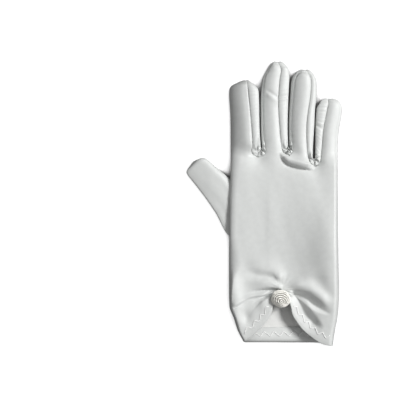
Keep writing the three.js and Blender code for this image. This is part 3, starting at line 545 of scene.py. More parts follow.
def strip(finger, columns, palm, rows=None):
    """A finger's back or palm panel as rows of points, drawn in along its seams."""
    before = CROTCHES[max(finger - 1, 0)]
    after = CROTCHES[min(finger, 2)]
    start_left = before[4] if palm and finger > 0 else before[1]
    start_right = after[4] if palm and finger < 3 else after[1]
    tip = FINGERS[finger][-1, 0]
    y_left = finger_rows(start_left, tip)[:rows, None]
    y_right = finger_rows(start_right, tip)[:rows, None]
    if palm:
        x_left = palm_seam(finger, "left", y_left, start_left)
        x_right = palm_seam(finger, "right", y_right, start_right)
    else:
        x_left = seam_of(finger, "left", y_left)
        x_right = seam_of(finger, "right", y_right)
    even = np.linspace(0, 1, columns + 1)[None, :]
    packed = even
    if finger == 0:
        packed = 1 - np.cos(even * math.pi / 2)
    if finger == 3:
        packed = np.sin(even * math.pi / 2)
    t = mix(even, packed, section(finger, y_left)[4])
    y = mix(y_left, y_right, t)
    x = mix(x_left, x_right, t)
    base = mix(start_left, start_right, t)
    at = finger_point(finger, x, y, base, palm)
    sink = np.zeros_like(x)
    if finger > 0:
        sink = np.maximum(sink, groove("left" if finger < 3 else "right", x - x_left, y))
    if finger < 3:
        sink = np.maximum(sink, groove("right", x_right - x, y))
    sink *= at_tip_shallower(tip, y)
    if finger == 3 and not palm:
        sink += side_seam(section(finger, y)[1] - x)
    return at + inward(finger, at, base, palm) * sink[..., None]


# Columns of cloth across each finger, and the rows of the pattern up to the waist and from there to the
# fingers, each with the steps that it is cut into
COLUMNS = [7, 5, 5, 7]
CUFF_ROWS = 15
CUFF_STEPS = 96
HAND_ROWS = 7
HAND_STEPS = 56

# How far the back's hem rolls down at its edge, on the left flap and on the right one, how far the palm's hem
# stands up from the table and turns down to it, and how far the palm swells up inside the cuff
LEFT_DROP = 1.2
RIGHT_DROP = 0.3
PALM_LIFT = 2.0
PALM_SWELL = 2.0


def palm_lift(from_hem):
    """How far the palm stands off the table beside its hem: steep at the edge, and gone a little way in."""
    return PALM_LIFT * np.clip(from_hem / 0.75, 0, 1) ** 0.8 * np.exp(-((from_hem / 8) ** 2))


def hand_rows(fine, palm):
    """The hand's cloth from the hem up to the fingers, as rows of points, closer together at the hem."""
    tops = [strip(f, COLUMNS[f] * fine, palm, rows=1)[0] for f in range(4)]
    top = np.concatenate([tops[0]] + [t[1:] for t in tops[1:]])
    u = np.linspace(0, 1, len(top))[None, :]
    on_cuff = CUFF_ROWS * np.linspace(0, 1, CUFF_STEPS + 1) ** 1.3
    on_hand = CUFF_ROWS + np.linspace(0, HAND_ROWS, HAND_STEPS + 1)[1:]
    row = np.concatenate([on_cuff, on_hand])[:, None]
    hem = PALM_HEM if palm else BACK_HEM
    hem_x = curve(BACK_HEM[:, 0], BACK_HEM[:, 1])(u)
    hem_y = curve(hem[:, 0], hem[:, -1])(u)
    even = mix(u, (1 - np.cos(math.pi * u)) / 2, 0.75)
    cuff = np.minimum(row / CUFF_ROWS, 1)
    hand = 1 - (1 - np.clip((row - CUFF_ROWS) / HAND_ROWS, 0, 1)) ** 1.6
    y = np.where(row <= CUFF_ROWS, mix(hem_y, WAIST_Y, cuff), mix(WAIST_Y, top[None, :, 1], hand))
    low = even if palm else mix(hand_share(hem_x, hem_y), even, cuff)
    high = mix(even, hand_share(top[None, :, 0], top[None, :, 1]), hand)
    x = mix(hand_left(y), hand_right(y), np.where(row <= CUFF_ROWS, low, high))
    if palm:
        z = hand_bottom(x, y)
        z += PALM_SWELL * np.exp(-(((x + 6) / np.where(x > -6, 24, 9)) ** 2) - ((y + 100) / 20) ** 2)
        z += palm_lift(y - hem_y) * smooth(0, 0.1, u)
    else:
        z = hand_top(x, y) - side_seam(hand_right(y) - x)
        z -= mix(LEFT_DROP, RIGHT_DROP, smooth(0.4, 0.6, u)) * np.clip(1 - row / 0.8, 0, 1) ** 2
    at = np.stack([x, y, z], -1)
    at[-1] = top
    return at


# Millimetres in a metre, and the points in a millimetre that the sewing tells apart
MM = 1000
SEWN = 500


class Cloth:
    """Rows of points sewn into one mesh: points at one place are one vertex."""

    def __init__(self):
        self.points = []
        self.quads = []
        self.uvs = []
        self.index = {}

    def vertex(self, point):
        key = tuple(np.rint(np.asarray(point) * SEWN).astype(int))
        if key not in self.index:
            self.index[key] = len(self.points)
            self.points.append(tuple(point))
        return self.index[key]

    def patch(self, rows, flip=False, uv=None):
        """Sews in a patch, seen from outside with its columns to the right, or to the left if flipped."""
        ids = [[self.vertex(point) for point in row] for row in rows]
        uv = rows[..., :2] if uv is None else uv
        for r in range(len(ids) - 1):
            for c in range(len(ids[0]) - 1):
                corners = [(r, c), (r, c + 1), (r + 1, c + 1), (r + 1, c)]
                if flip:
                    corners.reverse()
                face, seen = [], set()
                for i, j in corners:
                    if ids[i][j] not in seen:
                        seen.add(ids[i][j])
                        face.append((ids[i][j], tuple(uv[i][j])))
                if len(face) > 2:
                    self.quads.append([k for k, _ in face])
                    self.uvs.extend(at for _, at in face)
        return np.array(ids)

    def cut_out(self, in_hole):
        """Leaves out each face whose middle lies in a hole."""
        quads, uvs, corner = [], [], 0
        for quad in self.quads:
            if not in_hole(np.mean([self.points[k] for k in quad], 0)):
                quads.append(quad)
                uvs.extend(self.uvs[corner : corner + len(quad)])
            corner += len(quad)
        self.quads, self.uvs = quads, uvs

    def single(self, name, *materials):
        """The sewn mesh as a smooth object, a single sheet or a closed shell."""
        mesh = bpy.data.meshes.new(name)
        mesh.from_pydata([(x / MM, y / MM, z / MM) for x, y, z in self.points], [], self.quads)
        layer = mesh.uv_layers.new(name="UVMap")
        layer.data.foreach_set("uv", (np.array(self.uvs) / MM).ravel())
        for material in materials:
            mesh.materials.append(material)
        obj = bpy.data.objects.new(name, mesh)
        bpy.context.scene.collection.objects.link(obj)
        bpy.ops.object.select_all(action="DESELECT")
        obj.select_set(True)
        bpy.context.view_layer.objects.active = obj
        bpy.ops.object.shade_smooth()
        return obj

    def piece(self, name, wall, right_side, reverse_painted_light):
        """The sewn mesh with the cloth's thickness, and its wrong side on its inside, painted lighter as
        bounce light.
        """
        obj = self.single(name, right_side, reverse_painted_light)
        cloth = obj.modifiers.new("cloth", "SOLIDIFY")
        cloth.thickness = wall / MM
        cloth.offset = -1
        cloth.material_offset = 1
        bpy.ops.object.modifier_apply(modifier=cloth.name)
        return obj


def normals(rows):
    """Outward normals of a patch of rows that is seen from outside with its columns to the right."""
    down = np.gradient(rows, axis=0)
    across = np.gradient(rows, axis=1)
    n = np.cross(across, down)
    return n / (np.linalg.norm(n, axis=-1, keepdims=True) + 1e-12)


# The turned-up hem: radius of its edge, the steps round it, its depth, the rows up it as shares of that, and
# how far its last row stays away from the cloth above it, as a share of the others
HEM_ROLL = 0.55
HEM_ROLL_STEPS = 6
HEM_DEPTH = 13.0
HEM_ROWS = [0.06, 0.14, 0.25, 0.4, 0.55, 0.7, 0.85, 0.96, 1.0]
HEM_END = 0.8


def turn_up(rows, side):
    """The hem, turned up inside and nowhere below the table. side is 1 on the back and -1 on the palm."""
    n = normals(rows) * side
    edge = np.gradient(rows[0], axis=0)
    out = np.cross(edge, n[0]) * side
    out /= np.linalg.norm(out, axis=-1, keepdims=True) + 1e-12
    turned = []
    for k in range(1, HEM_ROLL_STEPS + 1):
        a = math.pi * k / HEM_ROLL_STEPS
        turned.append(rows[0] + HEM_ROLL * (math.sin(a) * out + (math.cos(a) - 1) * n[0]))
    length = run_length(rows)
    for share in HEM_ROWS:
        away = HEM_END if share == 1.0 else 1.0
        line = []
        for c in range(rows.shape[1]):
            at = np.interp(share * HEM_DEPTH, length[:, c], np.arange(len(rows)))
            i = min(int(at), len(rows) - 2)
            p = mix(rows[i, c], rows[i + 1, c], at - i)
            q = mix(n[i, c], n[i + 1, c], at - i)
            line.append(p - 2 * HEM_ROLL * away * q / np.linalg.norm(q))
        turned.append(np.array(line))
    turned = np.array(turned)
    turned[..., 2] = np.maximum(turned[..., 2], 0)
    return turned, n


def set_inputs(node, **values):
    """Sets a node's inputs by their names, with an underscore for each space."""
    for name, value in values.items():
        node.inputs[name.replace("_", " ")].default_value = value
    return node


def add_node(tree, kind, **values):
    return set_inputs(tree.nodes.new("ShaderNode" + kind), **values)


def plain_material(name, **values):
    """A material of one shader: the material, its nodes and the shader."""
    material = bpy.data.materials.new(name)
    material.use_nodes = True
    tree = material.node_tree
    return material, tree, set_inputs(tree.nodes["Principled BSDF"], **values)


def tint(tree, texture, dark, light, all_light):
    """Colours a material by a texture, from dark up to the strength at which it is all light."""
    ramp = add_node(tree, "ValToRGB")
    for stop, colour, position in zip(ramp.color_ramp.elements, (dark, light), (0.3, all_light)):
        stop.color = (*colour, 1)
        stop.position = position
    tree.links.new(texture.outputs["Fac"], ramp.inputs["Fac"])
    tree.links.new(ramp.outputs["Color"], tree.nodes["Principled BSDF"].inputs["Base Color"])


def satin_cloth(name, colour, roughness=0.5):
    """White stretch satin: long floats that shine along the hand, over a fine knit."""
    material, tree, shader = plain_material(name, Roughness=roughness, Specular_IOR_Level=0.4)
    set_inputs(shader, Sheen_Weight=0.05, Sheen_Roughness=0.35)
    knit = add_node(tree, "TexWave", Scale=620.0, Distortion=1.2, Detail=1.0, Detail_Scale=1.5)
    knit.bands_direction = "X"
    courses = add_node(tree, "TexWave", Scale=900.0, Distortion=0.8)
    courses.bands_direction = "Y"
    slubs = add_node(tree, "TexNoise", Scale=240.0, Detail=3.0)
    place = add_node(tree, "TexCoord")
    for texture in (knit, courses, slubs):
        tree.links.new(place.outputs["UV"], texture.inputs["Vector"])
    threads = add_node(tree, "Mix")
    threads.data_type = "FLOAT"
    threads.inputs[0].default_value = 0.4
    tree.links.new(knit.outputs["Fac"], threads.inputs[2])
    tree.links.new(courses.outputs["Fac"], threads.inputs[3])
    weave = add_node(tree, "Bump", Strength=0.10, Distance=0.00006)
    tree.links.new(threads.outputs[0], weave.inputs["Height"])
    soft = add_node(tree, "Bump", Strength=0.16, Distance=0.0002)
    tree.links.new(slubs.outputs["Fac"], soft.inputs["Height"])
    tree.links.new(weave.outputs["Normal"], soft.inputs["Normal"])
    tree.links.new(soft.outputs["Normal"], shader.inputs["Normal"])
    tint(tree, slubs, [c * 0.965 for c in colour], [min(c * 1.02, 1) for c in colour], 0.7)
    return material


# The thickness of the cloth, and how finely the pattern's columns are cut on the back and on the palm
CLOTH = 0.38
BACK_FINE = 5
PALM_FINE = 2

# The oval hole in the fold that the thumb is sewn round: its middle, its half-sizes and how far in it goes
HOLE_Y = -3.0
HOLE_Z = 3.8
HOLE_LONG = 19.0
HOLE_HIGH = 2.7
HOLE_X = -14.0

satin = satin_cloth("satin", (0.615, 0.628, 0.617))
# The wrong side is rougher, and is painted lighter and warmer than the right side: painted bounce light and a
# painted warm tint of shade, for the inside of the cuff
satin_reverse_painted_light = satin_cloth("satin_reverse_painted_light", (0.715, 0.718, 0.702), 0.75)


def in_thumb_hole(p):
    oval = ((p[1] - HOLE_Y) / HOLE_LONG) ** 2 + ((p[2] - HOLE_Z) / HOLE_HIGH) ** 2
    return p[0] < HOLE_X and oval < 1


trank_cloth = Cloth()
back = hand_rows(BACK_FINE, False)
palm = hand_rows(PALM_FINE, True)
palm[:, 0] = back[:, 0]
palm[:, -1] = back[:, -1]
trank_cloth.patch(back)
trank_cloth.patch(palm, flip=True)
for finger in range(4):
    trank_cloth.patch(strip(finger, COLUMNS[finger] * BACK_FINE, False))
    trank_cloth.patch(strip(finger, COLUMNS[finger] * PALM_FINE, True), flip=True)
back_hem, back_normals = turn_up(back, 1)
palm_hem, palm_normals = turn_up(palm, -1)
palm_hem[:, 0] = back_hem[:, 0]
palm_hem[:, -1] = back_hem[:, -1]
trank_cloth.patch(np.concatenate([back[:1], back_hem])[::-1])
trank_cloth.patch(np.concatenate([palm[:1], palm_hem])[::-1], flip=True)
trank_cloth.cut_out(in_thumb_hole)
trank = trank_cloth.piece("trank_satin", CLOTH, satin, satin_reverse_painted_light)
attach(trank, "root")
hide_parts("trank")

# The fourchettes
# Three narrow strips of the same satin give the fingers their depth. Each is sewn down one finger, through
# the crotch and up the next, and is drawn into a small knot of tucks at the crotch.

# Steps from a seam of a strip to its middle
HALF = 12

# The knot: height of its tucks, their number, its radius, and how far left of and below the crotch it lies
KNOT = 1.9
TUCKS = 6
KNOT_RADIUS = 5.5
KNOT_LEFT = 0.6
KNOT_DOWN = 1.0

# The kink in the strip beside the little finger: its depth, where it is and its width
KINK = 1.6
KINK_Y = 63.0
KINK_WIDTH = 1.0


def fullness(finger, side):
    """How boxy a strip's section is, under 1 for a full one, and how far it bellies up by its back seam."""
    if side == "right":
        return (0.24, 1.3) if finger == 0 else (0.65, 1.6)
    return (0.45, 2.0) if finger == 3 else (1.0, 0.2)


def seam_point(finger, side, y, base, palm):
    """The point of a finger's seam at one height up it, sunk as the panel beside it is."""
    here = np.array([y])
    x = palm_seam(finger, side, here, base) if palm else seam_of(finger, side, here)
    at = finger_point(finger, x, here, base, palm)
    tip = FINGERS[finger][-1, 0]
    depth = float(groove(side if finger < 3 else "right", 0.0, y) * at_tip_shallower(tip, y))
    return (at + inward(finger, at, base, palm) * depth)[0]


def fourchette_arc(finger, side, row):
    """One line of points across a strip, from the back seam round the finger's edge to the palm seam."""
    crotch = CROTCHES[finger] if side == "right" else CROTCHES[finger - 1]
    slit_x, slit_y, gap_x, gap_y, palm_y = crotch
    tip = FINGERS[finger][-1, 0]
    y, y_edge, y_palm = [finger_rows(base, tip)[row] for base in (slit_y, gap_y, palm_y)]
    left, right, edge, height, opened = section(finger, y_edge)
    top = seam_point(finger, side, y, slit_y, False)
    bottom = seam_point(finger, side, y_palm, palm_y, True)
    outer = right if side == "right" else left
    middle = np.array([gap_x if row == 0 else outer, y_edge, edge])
    half = (right - left) / 2

    def quarter(end, rise, power, t):
        run = math.hypot(end[0] - middle[0], end[1] - middle[1])
        limit = min(half, SHOULDER * max(rise, 0.01))
        whole = math.acos(min(max(1 - run / limit, 0), 1))
        if whole < 1e-4:
            return mix(middle, end, t)
        flat = (1 - math.cos(whole * t)) / (1 - math.cos(whole))
        up = (math.sin(whole * t) / math.sin(whole)) ** power
        return np.array([*mix(middle[:2], end[:2], flat), mix(middle[2], end[2], up)])

    steps = np.linspace(0, 1, HALF + 1)
    boxy, belly = fullness(finger, side)
    upper = [quarter(top, (height - edge) * opened, boxy, 1 - t) for t in steps]
    lower = [quarter(bottom, edge * opened, 1.0, t) for t in steps[1:]]
    arc = np.array(upper + lower)
    # the cloth bellies up beside its back seam, more where it isn't taut
    across = run_length(arc)
    above = np.clip((arc[:, 2] - edge) / (height - edge), 0, 1) ** 0.6
    free = 1 - np.exp(-((across / 1.8) ** 1.4))
    arc[:, 2] += belly * free * above * opened
    if finger == 3:
        arc[:, 2] -= KINK * free * above * math.exp(-(((y_edge - KINK_Y) / KINK_WIDTH) ** 2))
    # it is drawn into a star of tucks at the crotch
    from_knot = arc[:, :2] - np.array([(slit_x + gap_x) / 2 - KNOT_LEFT, gap_y - KNOT_DOWN])
    away = np.hypot(from_knot[:, 0], from_knot[:, 1])
    star = np.cos(TUCKS * np.arctan2(from_knot[:, 1], from_knot[:, 0]) + 0.9 * away + finger)
    off_seam = 1 - np.exp(-((across / 0.7) ** 2))
    arc[:, 2] += KNOT * star * np.exp(-((away / KNOT_RADIUS) ** 2)) * off_seam * above**0.5
    return arc


def laid_flat(rows, column):
    """A patch's own UV map: the length across each of its rows, and up one of its columns."""
    across = run_length(rows, 1)
    up = run_length(rows[:, column])
    return np.stack([across, np.repeat(up[:, None], across.shape[1], 1)], -1)


finger_row_count = len(finger_rows(0, 100))
for gap in range(3):
    down = [fourchette_arc(gap, "right", row) for row in reversed(range(finger_row_count))]
    up = [fourchette_arc(gap + 1, "left", row) for row in range(1, finger_row_count)]
    rows = np.array(down + up)
    fourchette_cloth = Cloth()
    fourchette_cloth.patch(rows, flip=True, uv=laid_flat(rows, HALF))
    name = f"fourchette_{FINGER_NAMES[gap]}_{FINGER_NAMES[gap + 1]}"
    fourchette = fourchette_cloth.piece(name + "_satin", CLOTH, satin, satin_reverse_painted_light)
    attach(fourchette, "root")
    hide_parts(name)

# The thumb
# The thumb is a tube of satin, sewn round the hole in the fold. It lies flat on the table with its root under
# the edge of the hand, and one seam runs up its upper side and over its tip.

# From inside the hand to the tip: upper edge x and y, lower edge x and y, lift off the table, height
THUMB = np.array(
    [
        (-15.5, 14.5, -15.5, -26.0, 1.0, 5.2),
        (-26.8, 19.6, -28.3, -25.2, 0.3, 5.2),
        (-34.1, 25.3, -39.0, -7.9, 0.0, 6.2),
        (-40.6, 30.5, -48.8, 6.3, 0.0, 6.8),
        (-44.6, 34.3, -57.4, 17.4, 0.0, 6.8),
        (-47.3, 36.4, -62.2, 23.4, 0.0, 6.8),
        (-49.8, 36.9, -63.0, 25.4, 0.2, 6.2),
        (-52.3, 36.5, -61.4, 28.9, 0.9, 4.4),
        (-54.6, 35.3, -58.8, 31.8, 1.9, 2.2),
    ]
)
THUMB_SIDES = 88
THUMB_ROWS = 96

# Where the tube starts, as a share of the table's length, and the length and steps of its rounded end
THUMB_START = 0.1
THUMB_NOSE = 0.9
THUMB_NOSE_STEPS = 8

# How square the tube's section is, under 1 for a square one, how much of its height lies below its widest
# line, and how much higher it stands at its upper edge
THUMB_SQUARE = 0.6
THUMB_EDGE = 0.46
THUMB_TILT = 1.6

# The seam: its depth as a share of the height, its width, where it runs round the section, and its stitches
THUMB_SEAM = 0.05
THUMB_SEAM_WIDTH = 1.2
THUMB_SEAM_AT = (0.42, 2 * math.pi)
THUMB_STITCHES = 70


def squared(v):
    return np.sign(v) * np.abs(v) ** THUMB_SQUARE


def thumb_ring(along):
    """One ring of points round the thumb, from its upper edge over its top."""
    stations = np.arange(len(THUMB)) / (len(THUMB) - 1)
    upper_x, upper_y, lower_x, lower_y, lift, height = [curve(stations, THUMB[:, k])(along) for k in range(6)]
    upper = np.array([upper_x, upper_y])
    lower = np.array([lower_x, lower_y])
    angle = 2 * math.pi * np.arange(THUMB_SIDES + 1) / THUMB_SIDES
    on_top = np.clip(np.sin(angle), 0, 1)
    across = squared(np.cos(angle))
    up = squared(np.sin(angle)) * height * np.where(np.sin(angle) > 0, 1 - THUMB_EDGE, THUMB_EDGE)
    flat = (upper + lower) / 2 + 0.5 * across[:, None] * (upper - lower)
    width = np.linalg.norm(upper - lower)
    seam = sum(np.exp(-(((angle - at) * height / THUMB_SEAM_WIDTH) ** 2)) for at in THUMB_SEAM_AT)
    share = 1 - THUMB_SEAM * seam * (1 + 0.3 * math.sin(THUMB_STITCHES * along))
    # soft drags that run from the root of the thumb towards its tip
    drag = 0.16 * np.sin(0.21 * width * across + 5.0 * along + 0.7) * on_top * (1 - along)
    tilt = THUMB_TILT * across * on_top
    return np.column_stack([flat, lift + height * THUMB_EDGE + up * share + drag + tilt])


thumb_rows = []
for k in range(THUMB_ROWS + 1):
    along = 1 - (1 - k / THUMB_ROWS) ** 1.5
    thumb_rows.append(thumb_ring(mix(THUMB_START, 1.0, along)))
thumb_rows = np.array(thumb_rows)
tip_centre = thumb_rows[-1, :-1].mean(0)
ahead = tip_centre - thumb_rows[-4, :-1].mean(0)
ahead /= np.linalg.norm(ahead)
closing = [
    tip_centre + (thumb_rows[-1] - tip_centre) * math.cos(a) + ahead * THUMB_NOSE * math.sin(a)
    for a in np.linspace(0, math.pi / 2, THUMB_NOSE_STEPS)[1:]
]
thumb_rows = np.concatenate([thumb_rows, closing])
thumb_cloth = Cloth()
thumb_cloth.patch(thumb_rows, flip=True, uv=laid_flat(thumb_rows, 0))
thumb = thumb_cloth.piece("thumb_satin", CLOTH, satin, satin_reverse_painted_light)
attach(thumb, "root")
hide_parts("thumb")

# The rose
# Ivory seed beads threaded in one string, wound from the eye of the rose outwards over a padded button, which
# is sewn on to the gathers and coloured dark as painted shade between the rings of beads. It leans a little
# towards the palm and the side seam.
ROSE_RADIUS = 7.3
ROSE_RISE = 5.2
ROSE_WAIST = 1.8
ROSE_TURN = -32.0
ROSE_SHIFT = (-0.8, 0.7)
ROSE_LEAN = (0.16, -0.42, 1)

# The string: size of a bead, how far on the next one lies in bead sizes, how far apart its rings lie, and
# how far down from the eye it starts and ends, in radians
BEAD = 1.3
BEAD_STEP = 0.66
BEAD_SPREAD = 1.95
STRING_START = 0.06
STRING_END = 2.02

rose_middle = Vector((ROSE_AT[0] + ROSE_SHIFT[0], ROSE_AT[1] + ROSE_SHIFT[1], SEAT + ROSE_WAIST)) / MM
rose_lean = Vector((0, 0, 1)).rotation_difference(Vector(ROSE_LEAN).normalized())


def rose_point(down, turn, radius, rise):
    """A point of the rose: an oval spheroid, whose rings are longer and narrower towards its eye."""
    squeeze = mix(0.6, 0.93, min(down / 1.4, 1))
    u = math.sin(down) * math.cos(turn) * radius * 1.05
    v = math.sin(down) * math.sin(turn) * radius * squeeze
    a = math.radians(ROSE_TURN)
    x = u * math.cos(a) - v * math.sin(a)
    y = u * math.sin(a) + v * math.cos(a)
    return rose_lean @ Vector((x, y, math.cos(down) * rise)) / MM + rose_middle


def pearl(name, colour, roughness):
    """A pearl glaze: a bright coat over a softer ivory body, not quite the same on any two beads."""
    material, tree, shader = plain_material(name, Roughness=roughness, Specular_IOR_Level=0.6)
    set_inputs(shader, Coat_Weight=0.5, Coat_Roughness=0.12)
    patches = add_node(tree, "TexNoise", Scale=420.0, Detail=2.0)
    tree.links.new(add_node(tree, "TexCoord").outputs["Object"], patches.inputs["Vector"])
    tint(tree, patches, [c * 0.86 for c in colour], colour, 0.75)
    return material


pearl_glaze = pearl("pearl_glaze", (0.95, 0.935, 0.88), 0.3)
# The button's dark beige is painted shade: it shows in the grooves between the rings of beads
button_painted_shade = pearl("button_painted_shade", (0.46, 0.445, 0.4), 0.8)
bpy.ops.object.select_all(action="DESELECT")
bpy.ops.mesh.primitive_uv_sphere_add(segments=48, ring_count=28, radius=1, location=(0, 0, 0))
button = bpy.context.object
button.name = "rose_button"
button.data.materials.append(pearl_glaze)
button.data.materials.append(button_painted_shade)
for v in button.data.vertices:
    down = math.acos(min(max(v.co.z, -1), 1))
    turn = math.atan2(v.co.y, v.co.x)
    v.co = rose_point(down, turn, ROSE_RADIUS - BEAD, ROSE_RISE - BEAD)
# Every face of the button takes the dark painted shade
for face in button.data.polygons:
    face.material_index = 1
bpy.ops.object.mode_set(mode="EDIT")
bpy.ops.mesh.select_all(action="SELECT")
bpy.ops.mesh.bisect(
    plane_co=(rose_middle.x, rose_middle.y, (SEAT + 0.05) / MM),
    plane_no=(0, 0, 1),
    clear_inner=True,
    use_fill=True,
)
bpy.ops.mesh.select_all(action="SELECT")
bpy.ops.mesh.normals_make_consistent(inside=False)
bpy.ops.object.mode_set(mode="OBJECT")
bpy.ops.object.shade_smooth()

bpy.ops.object.select_all(action="DESELECT")
bpy.ops.mesh.primitive_uv_sphere_add(segments=8, ring_count=6, radius=BEAD / 2 / MM, location=(0, 0, 0))
bead = bpy.context.object
bead.data.materials.append(pearl_glaze)
bpy.ops.object.shade_smooth()
beads = []
down = STRING_START
turn = 0.0
number = 0
while down < STRING_END:
    ring = math.sin(down) * ROSE_RADIUS
    wave = 1 + 0.02 * math.sin(5 * turn) + 0.012 * math.sin(9.7 * turn + 1)
    at = rose_point(down, turn, ROSE_RADIUS * wave, ROSE_RISE * wave)
    if at.z > (SEAT + 0.35) / MM:
        one = bead.copy()
        one.data = bead.data.copy()
        bpy.context.scene.collection.objects.link(one)
        size = 1 + 0.05 * math.sin(12.9 * number)
        one.scale = (size, size, size * 0.92)
        one.rotation_euler = (0.7 * math.sin(number), 0.7 * math.cos(1.7 * number), 1.3 * number)
        one.location = at
        beads.append(one)
    number += 1
    step = BEAD * BEAD_STEP / max(ring, BEAD * 0.55)
    turn += step
    down += BEAD_SPREAD / ROSE_RADIUS * step / (2 * math.pi)
bpy.data.objects.remove(bead)
bpy.ops.object.select_all(action="DESELECT")
for one in beads:
    one.select_set(True)
button.select_set(True)
bpy.context.view_layer.objects.active = button
bpy.ops.object.join()
rose = bpy.context.object
rose.name = "rosette_beads"
bpy.ops.object.transform_apply(location=True, rotation=True, scale=True)
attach(rose, "root")
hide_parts("rosette")

# The hem stitch
# The turned-up hem is held by a zigzag in white polyester thread, which shows outside on the back's two swags
# and inside the cuff on the palm.

# Length of a zig and a zag, radius of the thread and its sides, and how far it rises between its stitch holes
STITCH = 7.5
THREAD = 0.3
THREAD_SIDES = 6
THREAD_ARCH = 0.1

# The points of a zigzag's stroke, as shares of it, and the rows of cloth that the stitch can lie on
STROKE = np.arange(0, 1, 0.2)
HEM_CLOTH_ROWS = 40


def on_cloth(rows, normal_rows, column, away, lift):
    """The point that is so far from the hem on one column of the cloth, lifted off it."""
    c = min(int(column), rows.shape[1] - 2)
    line, line_normals = [
        mix(values[:HEM_CLOTH_ROWS, c], values[:HEM_CLOTH_ROWS, c + 1], column - c)
        for values in (rows, normal_rows)
    ]
    at = np.interp(away, run_length(line), np.arange(len(line)))
    i = min(int(at), len(line) - 2)
    p = mix(line[i], line[i + 1], at - i)
    n = mix(line_normals[i], line_normals[i + 1], at - i)
    return p + lift * n / np.linalg.norm(n)


def zigzag(rows, normal_rows, first, last, near, far, lift):
    """The points of a zigzag between two distances from the hem, along a stretch of it."""
    hem = rows[0]
    columns = np.arange(len(hem))
    run = run_length(hem)
    start, end = np.interp([first * (len(hem) - 1), last * (len(hem) - 1)], columns, run)
    points = []
    for k in range(int((end - start) / (STITCH / 2))):
        for f in STROKE:
            column = np.interp(start + (k + f) * STITCH / 2, run, columns)
            away = mix(near, far, f if k % 2 == 0 else 1 - f)
            arch = THREAD_ARCH * math.cos(6 * math.pi * f)
            points.append(on_cloth(rows, normal_rows, column, away, lift - arch))
    return np.array(points)


def thread_tube(points):
    """A tube of thread through a line of points."""
    along = np.gradient(points, axis=0)
    along /= np.linalg.norm(along, axis=1, keepdims=True)
    side = np.cross(along, (0, 0, 1.0))
    side /= np.linalg.norm(side, axis=1, keepdims=True)
    up = np.cross(side, along)
    rings = []
    for k in range(THREAD_SIDES + 1):
        a = 2 * math.pi * k / THREAD_SIDES
        rings.append(points + THREAD * (math.cos(a) * side + math.sin(a) * up))
    return np.stack(rings, 1)


thread_white = satin_cloth("thread_white", (0.9, 0.9, 0.89))
on_back = THREAD / 2
inside_palm = -(2 * HEM_ROLL + THREAD / 2)
stitches = Cloth()
for line in (
    zigzag(back, back_normals, 0.04, 0.34, 5.2, 8.8, on_back),
    zigzag(back, back_normals, 0.66, 0.985, 5.2, 8.8, on_back),
    zigzag(palm, palm_normals, 0.03, 0.97, 5.4, 9.2, inside_palm),
):
    ids = stitches.patch(thread_tube(line))
    for end in (0, -1):
        ring = [int(k) for k in ids[end][:-1]]
        stitches.quads.append(ring if end == 0 else ring[::-1])
        stitches.uvs.extend([(0.0, 0.0)] * len(ring))
hem_stitch = stitches.single("hem_zigzag", thread_white)
bpy.ops.object.mode_set(mode="EDIT")
bpy.ops.mesh.select_all(action="SELECT")
bpy.ops.mesh.normals_make_consistent(inside=False)
bpy.ops.object.mode_set(mode="OBJECT")
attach(hem_stitch, "root")

# The table, the light and the camera
# A white floor that glows without lighting the glove; its glow is dimmed near the glove, as painted shade in
# the narrow gaps.
# One soft light stands high on the right of a pale room, and the glove is seen from straight above. Lengths
# are metres here.
TABLE_SIZE = 6
TABLE_Z = -0.0002

# How near the glove has to be to dim the floor's glow as painted shade: in the gaps, and as a painted shadow
# line where it touches
GAP_SHADE = 0.012
TOUCH_SHADE = 0.0014

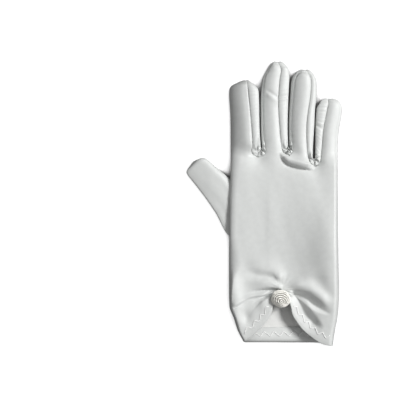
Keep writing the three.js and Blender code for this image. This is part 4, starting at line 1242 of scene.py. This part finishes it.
bpy.ops.object.select_all(action="DESELECT")
bpy.ops.mesh.primitive_plane_add(size=TABLE_SIZE, location=(0, 0, TABLE_Z))
table = bpy.context.object
table.name = "floor"
floor_glow_painted_shade, floor_glow_tree, floor_glow_shader = plain_material("floor_glow_painted_shade", Roughness=0.9, Specular_IOR_Level=0.1)
set_inputs(floor_glow_shader, Base_Color=(0.30, 0.30, 0.30, 1), Emission_Color=(1, 1, 1, 1))
glow_with_painted_shade = add_node(floor_glow_tree, "Math")
glow_with_painted_shade.operation = "MULTIPLY"
gap_painted_shade = {"From_Min": 0.43, "From_Max": 0.58, "To_Min": 0.0, "To_Max": 0.95}
touch_painted_shadow = {"From_Min": 0.45, "From_Max": 0.85}
# Ambient occlusion dims the floor's glow: painted shade in the narrow gaps and a painted shadow line where
# the glove touches
for slot, (distance, levels) in enumerate([(GAP_SHADE, gap_painted_shade), (TOUCH_SHADE, touch_painted_shadow)]):
    open_sky = add_node(floor_glow_tree, "AmbientOcclusion", Distance=distance)
    open_sky.samples = 12
    glow = add_node(floor_glow_tree, "MapRange", **levels)
    floor_glow_tree.links.new(open_sky.outputs["AO"], glow.inputs["Value"])
    floor_glow_tree.links.new(glow.outputs["Result"], glow_with_painted_shade.inputs[slot])
floor_glow_tree.links.new(glow_with_painted_shade.outputs["Value"], floor_glow_shader.inputs["Emission Strength"])
table.data.materials.append(floor_glow_painted_shade)
table.visible_diffuse = False
table.visible_glossy = False

world = bpy.data.worlds.new("pale_room")
bpy.context.scene.world = world
world.use_nodes = True
world_tree = world.node_tree
way = add_node(world_tree, "TexCoord")
split = add_node(world_tree, "SeparateXYZ")
walls = add_node(world_tree, "MapRange", From_Min=-0.15, From_Max=0.35, To_Min=0.03, To_Max=0.36)
background = set_inputs(world_tree.nodes["Background"], Color=(1, 1, 1, 1))
world_tree.links.new(way.outputs["Generated"], split.inputs["Vector"])
world_tree.links.new(split.outputs["Z"], walls.inputs["Value"])
world_tree.links.new(walls.outputs["Result"], background.inputs["Strength"])

# The light: degrees round from the right and up from the table, metres away and across, and watts
KEY_AZIMUTH = 24.0
KEY_HEIGHT = 42.0
KEY_AWAY = 2.6
KEY_SIZE = 0.8
KEY_POWER = 76
key_data = bpy.data.lights.new("window", "AREA")
key_data.shape = "DISK"
key_data.size = KEY_SIZE
key_data.energy = KEY_POWER
key = bpy.data.objects.new("window", key_data)
bpy.context.scene.collection.objects.link(key)
azimuth = math.radians(KEY_AZIMUTH)
height = math.radians(KEY_HEIGHT)
level = math.cos(height)
key_way = Vector((math.cos(azimuth) * level, math.sin(azimuth) * level, math.sin(height)))
key.location = key_way * KEY_AWAY
key.rotation_mode = "QUATERNION"
key.rotation_quaternion = (-key_way).to_track_quat("-Z", "Y")

# The camera looks straight down on a place to the left of the glove, as the photographer's did
CAMERA_AT = (-0.052, 0.00284, 1.5)
camera_data = bpy.data.cameras.new("camera")
camera_data.sensor_width = 36
camera_data.lens = 166.2
camera = bpy.data.objects.new("camera", camera_data)
bpy.context.scene.collection.objects.link(camera)
camera.location = CAMERA_AT
camera.rotation_euler = (0, 0, 0)
bpy.context.scene.camera = camera
bpy.context.scene.view_settings.view_transform = "Standard"
